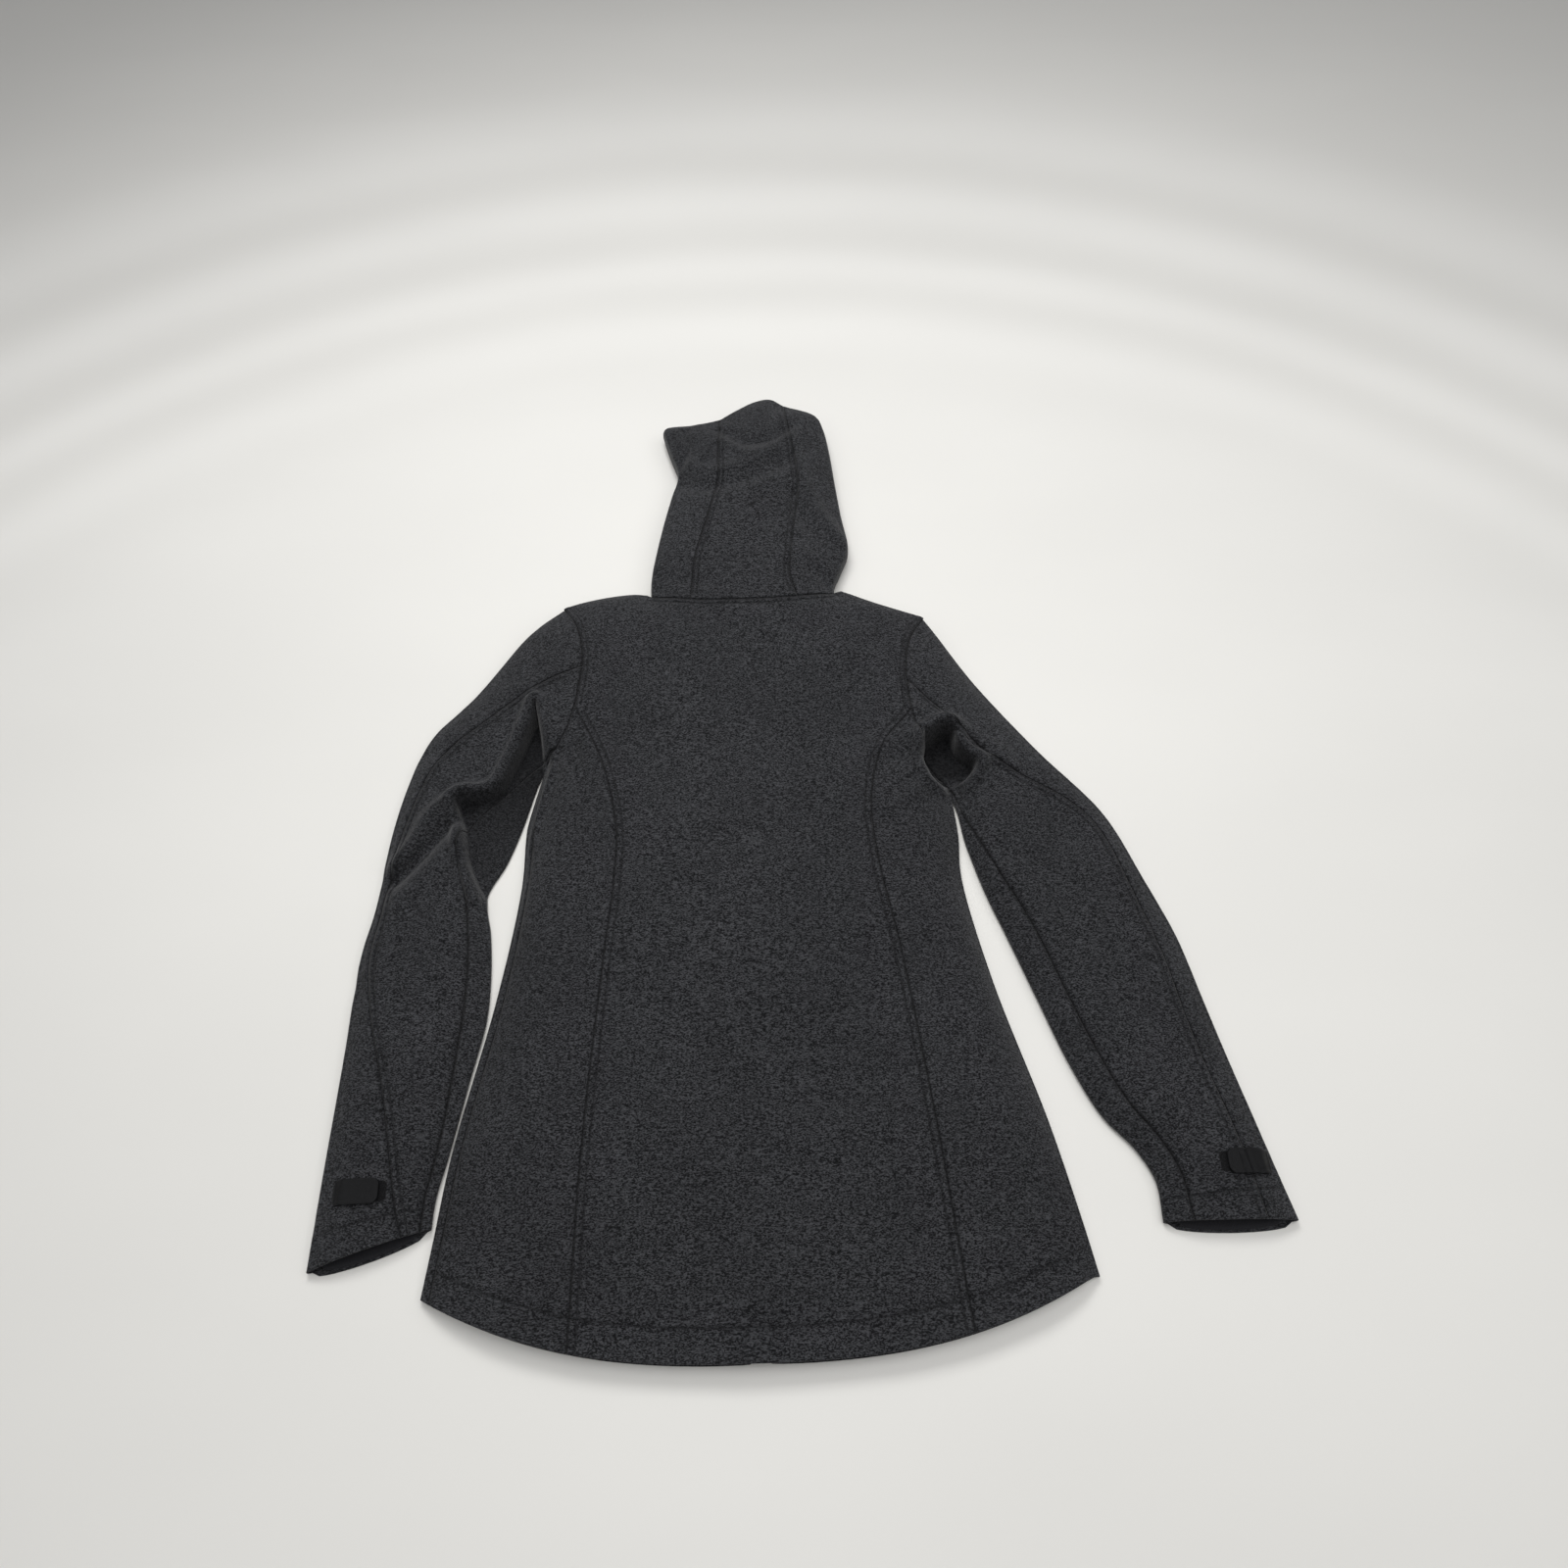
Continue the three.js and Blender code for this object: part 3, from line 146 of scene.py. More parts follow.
RIGHT = {
    "sign": 1,
    "shoulder": [[103, 10], [114, 5], [132, -4], [152, -13], [190, -29]],
    "armhole": [[190, -29], [172, -62], [164, -100], [165, -153]],
    "underarm": [[165, -153], [175, -192], [198, -236]],
    "side": [[198, -236], [200, -282], [198, -325], [215, -430], [247, -558], [263, -640], [270, -682]],
    "princess": [[165, -153], [135, -189], [118, -250], [120, -318], [133, -404], [153, -590], [166, -722]],
    "sleeve_outer": [
        [191, -29], [219, -77], [259, -142], [292, -191], [345, -264], [371, -334], [391, -396],
        [402, -455], [412, -508], [427, -580], [441, -645],
    ],
    "sleeve_inner": [
        [207, -236], [208, -285], [213, -311], [222, -346], [236, -388], [256, -450], [275, -508],
        [297, -556], [320, -584], [332, -610], [332, -643],
    ],
    "back_seam": [[0, 0.42], [0.2, 0.3], [0.4, 0.1], [0.6, 0.15], [0.75, 0.2], [1, 0.25]],
    "under_seam": [[0, 0.9], [0.3, 0.84], [0.6, 0.84], [1, 0.8]],
    "side_wrap": 0,
    "hood_side": [
        [97, 11], [97, 22], [108, 50], [115, 70], [110, 124], [106, 172], [102, 223], [97, 258],
        [90, 277], [52, 297],
    ],
    "hood_seam": [[56, 0], [50, 30], [54, 77], [60, 123], [64, 160], [52, 291]],
    "face_edge": [[9, 1], [38, 60], [54, 110], [57, 160], [57, 200], [54, 240], [52, 291]],
}
SIDES = {"left": LEFT, "right": RIGHT}
HOOD_CREST = [[-25, 276], [-4, 291], [17, 304], [36, 308], [52, 297]]
BACK_LENGTH = 736
HEM_RISE = 54
HEM_HALF = 267
NECK_HALF = 98
NECK_END = NECK_HALF + 4  # where the neck seam meets the shoulders
NECK_DROP = 62
SLEEVE_LENGTH = 650
SLEEVE_WIDTH = 95
HOOD_LENGTH = 285
EDGE_LIFT = 5.5  # middle of the upper cloth along a folded edge
LOFT_REACH = 17  # how fast the upper cloth rises away from a folded edge
ARM_START, ARM_SPAN = 180, 110  # how far out the body's loft gives way to the sleeve's
MOUTH_START, MOUTH_SPAN = BACK_LENGTH - 200, 190  # how far down the loft sinks to the hem and cuffs
BODY_SINK, ARM_GAIN = 0.5, 0.15
HIGH_SHARE, HIGH_START, HIGH_SPAN = 0.5, 120, 90  # loft that shoulders and hood keep at their edges
SHELF_RIDGE, SHELF_RIDGE_OUT, SHELF_RIDGE_HALF = 6.5, 6.5, 5  # the fold that stands round a shelf
SEAM_GROOVE, SEAM_HALF = 0.9, 1.0
SEAM_SWELL, SEAM_SWELL_OUT, SEAM_SWELL_HALF = 0.4, 3.2, 1.8
STITCH_DIP, STITCH_HALF = 0.6, 1.1
EDGE_STITCH, NECK_STITCH = 1.7, 1.8  # distance from a seam to the row beside it
HEM_STITCH = -258, 262  # ends of the hem's row
ARMHOLE_GAP = 0.3  # between the sleeve and the body
LOFT_FAR = 90  # how far from a folded edge the cloth is taken to be at its full loft
SHELF_LEAN = 0.35  # share of a shelf's depth already reached on its outline
WAVE_RISE, PUCKER_RISE = 0.55, 0.16  # unevenness of the cloth
SEAM_SHADE_HALF, STITCH_SHADE, STITCH_SHADE_HALF = 1.1, 0.6, 1.2
# painted shade in the hollows at the armpits: its strength, how much it fades downwards, where the fade starts
# below the top, and its soft edge
HOLLOW_PAINTED_SHADE, HOLLOW_FADE, HOLLOW_TOP, HOLLOW_SOFT = 0.9, 0.75, 40, 7
CURL, CURL_REACH = 2.6, 5
TABLE_AIR = 0.1  # between the cloth and the table
FACING_AIR = 0.45  # between a facing and its cloth
FACING_LOW, FACING_HIGH = 2.5, 27.5  # a hem facing's edges above the hem

ZIP_LEVEL = 8.2  # middle plane of every zip
ZIP_SLOT = 7
TAPE_HALF, TAPE_AIR = 0.3, 0.35
ZIP_REACH = 38
POCKET_X = 134
POCKET_TOP = -436
POCKET_BOTTOM = -594
PULL_ROOM = 24
NECKLINE = [[ZIP_SLOT, -NECK_DROP], [42, -NECK_DROP * 0.87], [72, -NECK_DROP * 0.5], [90, -NECK_DROP * 0.145]]

# Soft folds: a plan line, its half width and its rise (below 0 for a valley)
FOLDS = [
    ([[-274, -228], [-292, -236], [-308, -252], [-320, -280], [-335, -300]], 8, 7.0),  # left elbow ridge
    ([[-272, -246], [-294, -268], [-313, -294], [-333, -316]], 8, -10.0),  # left elbow valley
    ([[-270, -272], [-288, -296], [-307, -320], [-328, -340]], 10, 4.5),
    ([[-262, -214], [-276, -196], [-300, -178], [-316, -176]], 13, -2.5),
    ([[-213, -124], [-224, -112], [-240, -108]], 8, 2.0),
    ([[-194, -150], [-180, -176], [-168, -214]], 6, 1.6),  # puckers beside the left armhole
    ([[-174, -182], [-165, -214], [-156, -238], [-144, -256]], 8, -3.2),
    ([[-160, -176], [-150, -206], [-140, -232]], 8, 1.6),
    ([[-211, -286], [-173, -291], [-138, -293]], 2.2, -0.8),  # pressed crease of the left side panel
    ([[-208, -280], [-173, -284], [-140, -286]], 5, 0.5),
    ([[131, -196], [154, -183], [178, -184], [200, -168]], 8, 3.0),  # folds from the right armpit
    ([[140, -212], [160, -204], [172, -206]], 6, -2.5),
    ([[162, -150], [185, -156], [209, -168], [236, -190], [254, -198]], 8, 3.2),
    ([[206, -186], [214, -204], [226, -212], [244, -206], [262, -214]], 7, 3.0),
    ([[212, -176], [222, -192], [240, -198]], 5, -3.0),
    ([[119, -260], [130, -267], [150, -256], [166, -238]], 7, 2.2),  # light band of the right side panel
    ([[122, -274], [138, -280], [158, -270], [176, -252]], 8, -1.6),
    ([[262, -230], [290, -262], [318, -300]], 16, -2.2),  # right elbow
    ([[240, -300], [268, -330], [300, -346]], 12, -1.8),
    ([[300, -400], [330, -412], [366, -404]], 10, -1.6),
    ([[-352, -420], [-320, -440], [-290, -452]], 12, -1.6),
    ([[-262, -520], [-290, -510], [-320, -520]], 10, 1.2),
    ([[-74, 176], [-46, 158], [-13, 164], [26, 181], [54, 196]], 11, -4.5),  # across the hood
    ([[-60, 196], [-40, 182], [-10, 186], [20, 202]], 10, 3.0),
    ([[-23, 250], [5, 226], [36, 232], [62, 256]], 9, -3.4),
    ([[-20, 228], [6, 208], [38, 214], [56, 232]], 9, 2.2),
    ([[66, 196], [73, 150], [90, 106], [110, 78]], 9, 4.0),
    ([[56, 150], [66, 112], [84, 78]], 9, -3.5),
    ([[58, 62], [82, 46], [100, 27]], 7, 2.6),
    ([[70, 36], [86, 24], [96, 10]], 6, -2.6),
    ([[-66, 250], [-62, 226], [-68, 200]], 5, -5.0),  # the folded corner of the hood
    ([[-48, 262], [-42, 236], [-44, 206]], 7, 2.2),
    ([[-92, 34], [-70, 24], [-40, 20]], 7, -1.8),
    ([[-60, -60], [-20, -110], [-10, -200], [-24, -320]], 36, 1.6),  # broad lie of the back
    ([[60, -60], [90, -40], [130, -36]], 14, -1.6),
    ([[40, -120], [60, -230], [50, -360]], 34, -1.4),
    ([[-80, -420], [0, -440], [90, -430]], 40, 1.2),
    ([[-120, -560], [-60, -600], [20, -590]], 40, -1.2),
]
# Low ground where the upper cloth is drawn back and the lower side shows: outline, level, edge softness
SHELVES = [
    ([[-213, -130], [-221, -158], [-233, -194], [-246, -222], [-262, -229], [-284, -234], [-276, -262],
      [-268, -300], [-256, -326], [-244, -340], [-226, -300], [-212, -250], [-203, -200], [-206, -160]],
     3.2, 4.5),
    ([[176, -180], [194, -172], [205, -174], [209, -190], [217, -201], [226, -210], [214, -226],
      [196, -232], [182, -226], [173, -206]], 4.0, 4.5),
]


# ---------------------------------------------------------------- plan geometry
def smooth(t):
    """0 below 0, 1 above 1, and t squared times (3 - 2t) between."""
    t = np.clip(t, 0, 1)
    return t * t * (3 - 2 * t)


def at(line, t):
    """The point at the share t of a line's length, by linear steps between its points."""
    steps = np.linalg.norm(np.diff(line, axis=0), axis=1)
    along = np.concatenate([[0], np.cumsum(steps)]) / steps.sum()
    return np.stack([np.interp(t, along, line[:, axis]) for axis in range(line.shape[1])], axis=-1)


def spline(points, count=121):
    """A centripetal Catmull-Rom curve: between knots, cubic Hermite steps whose tangents weigh the
    neighbouring chords by the square root of their lengths. Returned at even distances."""
    p = np.array(points, float)
    p = np.vstack([2 * p[0] - p[1], p, 2 * p[-1] - p[-2]])
    step = np.sqrt(np.linalg.norm(np.diff(p, axis=0), axis=1))
    t = np.linspace(0, 1, 24, endpoint=False)[:, None]
    parts = []
    for i in range(1, len(p) - 2):
        d0, d1, d2 = step[i - 1 : i + 2]
        first = ((p[i] - p[i - 1]) / d0 - (p[i + 1] - p[i - 1]) / (d0 + d1) + (p[i + 1] - p[i]) / d1) * d1
        last = ((p[i + 1] - p[i]) / d1 - (p[i + 2] - p[i]) / (d1 + d2) + (p[i + 2] - p[i + 1]) / d2) * d1
        parts.append((2 * t**3 - 3 * t**2 + 1) * p[i] + (t**3 - 2 * t**2 + t) * first)
        parts[-1] = parts[-1] + (3 * t**2 - 2 * t**3) * p[i + 1] + (t**3 - t**2) * last
    line = np.vstack([*parts, p[-2:-1]])
    return at(line, np.linspace(0, 1, count))


def distance(xy, line, reach=1e6):
    """Distance in plan from points to the nearest step of a line, and the side of it they are on. Points
    further than reach from the line's box are given reach."""
    near = np.full(xy.shape[:-1], float(reach))
    side = np.ones(xy.shape[:-1])
    close = np.all((xy > line.min(0) - reach) & (xy < line.max(0) + reach), axis=-1)
    spots = xy[close]
    if not len(spots):
        return near, side
    best = np.full(len(spots), float(reach))
    hand = np.ones(len(spots))
    for a, b in zip(line[:-1], line[1:]):
        run = b - a
        off = spots - a
        t = np.clip((off @ run) / (run @ run), 0, 1)
        miss = np.hypot(off[:, 0] - t * run[0], off[:, 1] - t * run[1])
        turn = run[0] * off[:, 1] - run[1] * off[:, 0]
        hand = np.where(miss < best, np.sign(turn), hand)
        best = np.minimum(best, miss)
    near[close] = best
    side[close] = hand
    return near, side


def inside(xy, outline):
    """True where a ray from the point crosses the closed outline an odd number of times."""
    odd = np.zeros(xy.shape[:-1], bool)
    x, y = xy[..., 0], xy[..., 1]
    for (ax, ay), (bx, by) in zip(outline, np.roll(outline, -1, axis=0)):
        spans = (ay > y) != (by > y)
        crossing = ax + (y - ay) * (bx - ax) / (by - ay + 1e-12)
        odd ^= spans & (x < crossing)
    return odd


def outwards(side, points):
    return np.array(points, float) * [side["sign"], 1]


def hem_curve(x):
    """The hem rises from the centre back to the side seams with the 2.6th power of the distance."""
    return -BACK_LENGTH + HEM_RISE * np.minimum(1, np.abs(x) / HEM_HALF) ** 2.6


def neck_curve(x):
    """The neck seam lies 6 mm down in the middle and rises by 16 mm to the shoulders, with the 2.5th
    power of the distance."""
    return -6 + 16 * np.minimum(1, np.abs(x) / (NECK_END)) ** 2.5


def hem_line(x0, x1, count=60):
    x = np.linspace(x0, x1, count)
    return np.stack([x, hem_curve(x)], axis=1)


def patch(u, v, bottom, top, left, right):
    """A Coons patch: the two lofts between opposite edges added, less the bilinear patch of the corners."""
    u, v = u[..., None], v[..., None]
    across = (1 - v) * at(bottom, u[..., 0]) + v * at(top, u[..., 0])
    along = (1 - u) * at(left, v[..., 0]) + u * at(right, v[..., 0])
    corners = (1 - v) * ((1 - u) * left[0] + u * right[0]) + v * ((1 - u) * left[-1] + u * right[-1])
    return across + along - corners


SEWN = [0, 0.6, 1.2, 1.8, 2.6, 3.6, 4.6, 5.3, 6.0, 6.7, 7.6, 9.2]  # beside a sewn edge
HEMMED = [0, 0.8, 1.8, 3.4, 6, 9, 12, 15, 18, 20.5, 22.5, 23.8, 24.5, 25.2, 26.2, 28]  # from a hem up
BARE = [0, 0.8, 2]


def spaced(width, step, first=SEWN, last=SEWN):
    """Shares of each width: fine places beside the two ends and even ones between. Where the width is
    small the fine places are drawn together, to take up at most 0.8 of it."""
    width = np.atleast_1d(width)[:, None]
    close = np.minimum(1, 0.8 * width / (first[-1] + last[-1] + 1e-9))
    start = np.array(first) * close / width
    end = 1 - np.array(last)[::-1] * close / width
    count = max(3, int(width.mean() / step))
    middle = start[:, -1:] + (end[:, :1] - start[:, -1:]) * np.linspace(0, 1, count + 1)[1:-1]
    return np.hstack([start, middle, end])


def ripple(xy, seed, size, waves=14, low=35, high=150):
    """Slight unevenness of the cloth: plane waves of random heading and length, summed."""
    pick = np.random.default_rng(seed)
    heading = pick.uniform(0, math.pi, waves)
    wave = pick.uniform(low, high, waves)
    phase = pick.uniform(0, 2 * math.pi, waves)
    total = np.zeros(xy.shape[:-1])
    for angle, span, start in zip(heading, wave, phase):
        travel = xy[..., 0] * math.cos(angle) + xy[..., 1] * math.sin(angle)
        total += np.sin(2 * math.pi * travel / span + start) * span / high
    return total * size / math.sqrt(waves)


def offset_line(line, amount):
    """A line moved in plan to the left of its heading. Along a line that runs down, that is outwards
    on the right side of the jacket."""
    run = np.gradient(line, axis=0)
    run = run / np.linalg.norm(run, axis=1, keepdims=True)
    return line + np.stack([-run[:, 1], run[:, 0]], axis=1) * amount


# ---------------------------------------------------------------- the lay as lines and heights
class Lay:
    """Every seam and edge line of the laid jacket, and the heights of its two layers."""

    def __init__(self, sizes):
        self.cloth = sizes.cloth / MM
        self.facing = sizes.facing / MM
        self.loft = sizes.loft / MM
        self.sleeve_loft = sizes.sleeve_loft / MM
        self.topstitch = sizes.topstitch / MM
        self.hem = sizes.hem / MM
        self.fold = (EDGE_LIFT - self.cloth / 2) / 2
        self.floor = self.cloth / 2 + TABLE_AIR
        self.sides = {}
        self.folded = []
        for name, side in SIDES.items():
            lines = {"sign": side["sign"], "side_wrap": side["side_wrap"]}
            for key in ("shoulder", "armhole", "underarm", "side", "princess", "sleeve_outer",
                        "sleeve_inner", "hood_side", "hood_seam", "face_edge"):
                lines[key] = outwards(side, spline(side[key]))
            lines["princess"][-1, 1] = hem_curve(lines["princess"][-1, 0])
            lines["back_seam"] = spline(side["back_seam"])
            lines["under_seam"] = spline(side["under_seam"])
            self.sides[name] = lines
            for key in ("side", "shoulder", "sleeve_outer", "sleeve_inner", "hood_side"):
                self.folded.append(lines[key][::4])
        self.crest = spline(HOOD_CREST)
        self.folded.append(self.crest[::4])
        self.folds = [(spline(line, 25), width, rise) for line, width, rise in FOLDS]
        self.shelves = [(spline([*line, line[0]], 61)[:-1], level, soft) for line, level, soft in SHELVES]
        self.seams = []
        for lines in self.sides.values():
            for key in ("princess", "armhole", "underarm", "hood_seam"):
                self.seams.append(lines[key][::3])
            for key in ("back_seam", "under_seam"):
                self.seams.append(self.sleeve_line(lines, key)[::2])
            if lines["side_wrap"] > 1:
                self.seams.append(self.side_seam(lines)[::3])
        neck = np.linspace(-NECK_END, NECK_END, 25)
        self.seams.append(np.stack([neck, neck_curve(neck)], axis=1))
        for lines in self.sides.values():
            self.folds.append((self.sleeve_line(lines, "under_seam")[34:][::3], 3.5, -2.2))
        self.rows_of = self.stitch_rows()
        self.rows = [line for line, _ in self.rows_of]

    def side_seam(self, lines):
        """The side seam, drawn in from the folded edge by the wrap of the front cloth."""
        return lines["side"] - [lines["sign"] * lines["side_wrap"], 0]

    def sleeve_plan(self, lines, s, w):
        """Plan point of a sleeve: s from armhole to cuff, w from the outer to the inner edge. The
        straight loft between the edges is pulled to the armhole's curve by a power of (1 - s)."""
        outer, inner = at(lines["sleeve_outer"], s), at(lines["sleeve_inner"], s)
        first = lines["sleeve_outer"][0], lines["sleeve_inner"][0]
        seam = np.vstack([lines["armhole"], lines["underarm"][1:]])
        gap = [lines["sign"] * ARMHOLE_GAP, 0]
        w3 = w[..., None]
        across = outer + (inner - outer) * w3
        straight = first[0] + (first[1] - first[0]) * w3
        fade = ((1 - s) ** (3 + 24 * w**3))[..., None]
        return across + fade * (at(seam, w) + gap - straight)

    def sleeve_line(self, lines, key, offset=0.0):
        """A seam along a sleeve at its share of the width, or a row beside it."""
        s = np.linspace(0, 1, 121)
        share = np.interp(s, lines[key][:, 0], lines[key][:, 1])
        ends = self.sleeve_plan(lines, s, np.zeros_like(s)) - self.sleeve_plan(lines, s, np.ones_like(s))
        width = np.linalg.norm(ends, axis=1)
        return self.sleeve_plan(lines, s, share + offset / width)

    def stitch_rows(self):
        """Every row of topstitching on the upper side: its plan line and the body it is sewn to."""
        rows = []
        inset = self.topstitch
        for name, lines in self.sides.items():
            sign = lines["sign"]
            arm = f"sleeve_{name}"
            rows.append((offset_line(lines["princess"], -sign * inset)[2:], "jacket"))
            rows.append((offset_line(lines["armhole"], -sign * inset)[3:-1], "jacket"))
            rows.append((offset_line(lines["armhole"], -sign * EDGE_STITCH)[1:-1], "jacket"))
            rows.append((self.sleeve_line(lines, "back_seam", inset)[4:], arm))
            rows.append((self.sleeve_line(lines, "back_seam", EDGE_STITCH)[3:70], arm))
            rows.append((offset_line(lines["hood_seam"], sign * inset)[2:-8], "hood"))
            rows.append((offset_line(lines["hood_seam"], sign * EDGE_STITCH)[1:-4], "hood"))
            turn = np.full(60, 1 - self.hem / SLEEVE_LENGTH)
            cuff = self.sleeve_plan(lines, turn, np.linspace(0.05, 0.95, 60))
            rows.append((cuff, arm))
        rows.append((hem_line(*HEM_STITCH, 121) + [0, self.hem], "jacket"))
        neck = np.linspace(-NECK_HALF, NECK_HALF, 80)
        rows.append((np.stack([neck, neck_curve(neck) - inset], axis=1), "jacket"))
        rows.append((np.stack([neck, neck_curve(neck) - NECK_STITCH], axis=1), "jacket"))
        return rows

    def upper(self, xy):
        """Middle of the upper cloth. It rises from every folded edge as a product of 1 - exp(-distance
        / reach), stands high along the shoulders and hood, sinks towards the hem and cuffs, and carries
        the folds, shelves, seams and stitches."""
        x, y = xy[..., 0], xy[..., 1]
        arm = smooth((np.abs(x) - ARM_START) / ARM_SPAN)
        loft = self.loft + (self.sleeve_loft - self.loft) * arm
        mouth = 1 - (BODY_SINK - ARM_GAIN * arm) * smooth((-y - MOUTH_START) / MOUTH_SPAN)
        fill = np.ones_like(x)
        for line in self.folded:
            fill = fill * (1 - np.exp(-distance(xy, line, LOFT_FAR)[0] / LOFT_REACH))
        high = HIGH_SHARE * smooth((y + HIGH_START) / HIGH_SPAN)
        z = EDGE_LIFT + loft * mouth * (high + (1 - high) * fill)
        soft = smooth(fill * 4)
        for line, width, rise in self.folds:
            z = z + soft * rise * np.exp(-((distance(xy, line, 3 * width)[0] / width) ** 2))
        for outline, level, edge in self.shelves:
            depth = self.shelf_depth(xy, outline)
            z = z + (level - z) * smooth(depth / edge + SHELF_LEAN)
            z = z + SHELF_RIDGE * np.exp(-(((depth + SHELF_RIDGE_OUT) / SHELF_RIDGE_HALF) ** 2)) * soft
        z = z + ripple(xy, 7, WAVE_RISE) * soft + ripple(xy, 11, PUCKER_RISE, low=9, high=30) * soft
        for line in self.seams:
            near = distance(xy, line, 12)[0]
            z = z - SEAM_GROOVE * np.exp(-((near / SEAM_HALF) ** 2))
            z = z + SEAM_SWELL * np.exp(-(((near - SEAM_SWELL_OUT) / SEAM_SWELL_HALF) ** 2))
        for line in self.rows:
            z = z - STITCH_DIP * np.exp(-((distance(xy, line[::2], 6)[0] / STITCH_HALF) ** 2))
        return z

    def shelf_depth(self, xy, outline):
        """Distance in from a shelf's outline, and below 0 outside it."""
        near = distance(xy, np.vstack([outline, outline[:1]]), 40)[0]
        return np.where(inside(xy, outline), near, -near)

    def lower(self, xy):
        """Middle of the lower cloth: flat on the table, and raised by smooth steps along the zips."""
        x, y = np.abs(xy[..., 0]), xy[..., 1]
        lift = ZIP_LEVEL - TAPE_HALF - TAPE_AIR - self.cloth
        centre = 1 - smooth((x - ZIP_SLOT) / ZIP_REACH)
        centre = centre * np.where(y < 4, 1, 1 - smooth(y / 40))
        across = 1 - smooth((np.abs(x - POCKET_X) - ZIP_SLOT) / ZIP_REACH)
        beyond = np.maximum(np.maximum(y - POCKET_TOP, POCKET_BOTTOM - y), 0)
        along = 1 - smooth((beyond - PULL_ROOM) / ZIP_REACH)
        return self.floor + lift * np.maximum(centre, across * along)

    def curled(self, xy):
        """The lower cloth, curling up towards the side seams and shoulders as the exponential of distance."""
        curl = np.zeros(xy.shape[:-1])
        for lines in self.sides.values():
            for key in ("side", "shoulder"):
                curl = np.maximum(curl, np.exp(-distance(xy, lines[key][::4], 40)[0] / CURL_REACH))
        return self.lower(xy) + CURL * curl

    def seam_and_painted_hollow_shade(self, xy):
        """How much darker the cloth is: 1 on a seam, less on a row of stitches, and painted shade in the
        hollows at the armpits, where it fades with the distance down."""
        shade = np.zeros(xy.shape[:-1])
        for line in self.seams:
            shade = np.maximum(shade, np.exp(-((distance(xy, line, 8)[0] / SEAM_SHADE_HALF) ** 2)))
        for line in self.rows:
            near = distance(xy, line[::2], 8)[0]
            shade = np.maximum(shade, STITCH_SHADE * np.exp(-((near / STITCH_SHADE_HALF) ** 2)))
        # painted shade: each hollow is darkened most just under its fold, where the fold shades it, and fades
        # downwards
        for outline, _, _ in self.shelves:
            depth = self.shelf_depth(xy, outline)
            high, low = outline[:, 1].max(), outline[:, 1].min()
            down = (high - HOLLOW_TOP - xy[..., 1]) / (high - HOLLOW_TOP - low)
            fade = 1 - HOLLOW_FADE * smooth(down)
            shade = np.maximum(shade, HOLLOW_PAINTED_SHADE * fade * smooth(depth / HOLLOW_SOFT + 0.5))
        return shade


# ---------------------------------------------------------------- meshes
SEAM_AIR = 0.2  # half of the gap between two cloth edges that are sewn together
STEP = 2.7
WIDE_STEP = 7  # for cloth that lies underneath
BLENDS = {
    "sleeve_left": ((-200, -189), (-0.94, -0.34), 106),
    "sleeve_right": ((198, -236), (0.92, -0.39), 100),
    "hood": ((0, 6), (0, 1), 104),
}


def placed(points):
    """Points of the jacket's own frame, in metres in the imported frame."""
    return np.asarray(points, float) * MM + ORIGIN


def layers(middle, thick, ring=False):
    """Vertices and faces of a closed cloth: every point of the middle grid moved half a thickness both
    ways along its normal, which is the cross product of the grid's two directions, and a rounded rim."""
    rows, columns = middle.shape[:2]
    along = np.gradient(middle, axis=0)
    if ring:
        across = np.roll(middle, -1, 1) - np.roll(middle, 1, 1)
    else:
        across = np.gradient(middle, axis=1)
    normal = np.cross(across, along)
    normal = normal / (np.linalg.norm(normal, axis=2, keepdims=True) + 1e-12)
    over = middle + normal * thick / 2
    under = middle - normal * thick / 2
    number = np.arange(rows * columns).reshape(rows, columns)
    if ring:
        number_wide = np.hstack([number, number[:, :1]])
        loops = [(number_wide[0], number_wide[1], False),
                 (number_wide[-1][::-1], number_wide[-2][::-1], False)]
    else:
        number_wide = number
        edge = [number[0], number[1:, -1], number[-1, -2::-1], number[-2:0:-1, 0]]
        inner = [number[1], number[1:, -2], number[-2, -2::-1], number[-2:0:-1, 1]]
        loops = [(np.concatenate(edge), np.concatenate(inner), True)]
    a, b = number_wide[:-1, :-1].ravel(), number_wide[:-1, 1:].ravel()
    c, d = number_wide[1:, 1:].ravel(), number_wide[1:, :-1].ravel()
    total = rows * columns
    faces = [np.stack([a, b, c, d], 1), np.stack([a, d, c, b], 1) + total]
    points = [over.reshape(-1, 3), under.reshape(-1, 3)]
    flat = middle.reshape(-1, 3)
    for edge, inner, closed in loops:
        away = flat[edge] - flat[inner]
        away = away / (np.linalg.norm(away, axis=1, keepdims=True) + 1e-12)
        rim = flat[edge] + away * thick * 0.3
        first = sum(len(p) for p in points)
        ids = first + np.arange(len(edge))
        if ring:
            rim, ids = rim[:-1], np.append(ids[:-1], ids[0])
        points.append(rim)
        end, ids_end = (np.roll(edge, -1), np.roll(ids, -1)) if closed else (edge[1:], ids[1:])
        start, ids_start = (edge, ids) if closed else (edge[:-1], ids[:-1])
        faces.append(np.stack([end, start, ids_start, ids_end], 1))
        faces.append(np.stack([ids_end, ids_start, start + total, end + total], 1))
    return np.vstack(points), np.vstack(faces)


def outward_faces(points, faces):
    """Faces turned so that the volume they close, the sum of their corner triple products, is positive."""
    p = points - points.mean(0)
    a, b, c, d = (p[faces[:, i]] for i in range(4))
    volume = np.einsum("ij,ij->", a, np.cross(b, c)) + np.einsum("ij,ij->", a, np.cross(c, d))
    return faces if volume > 0 else faces[:, ::-1]


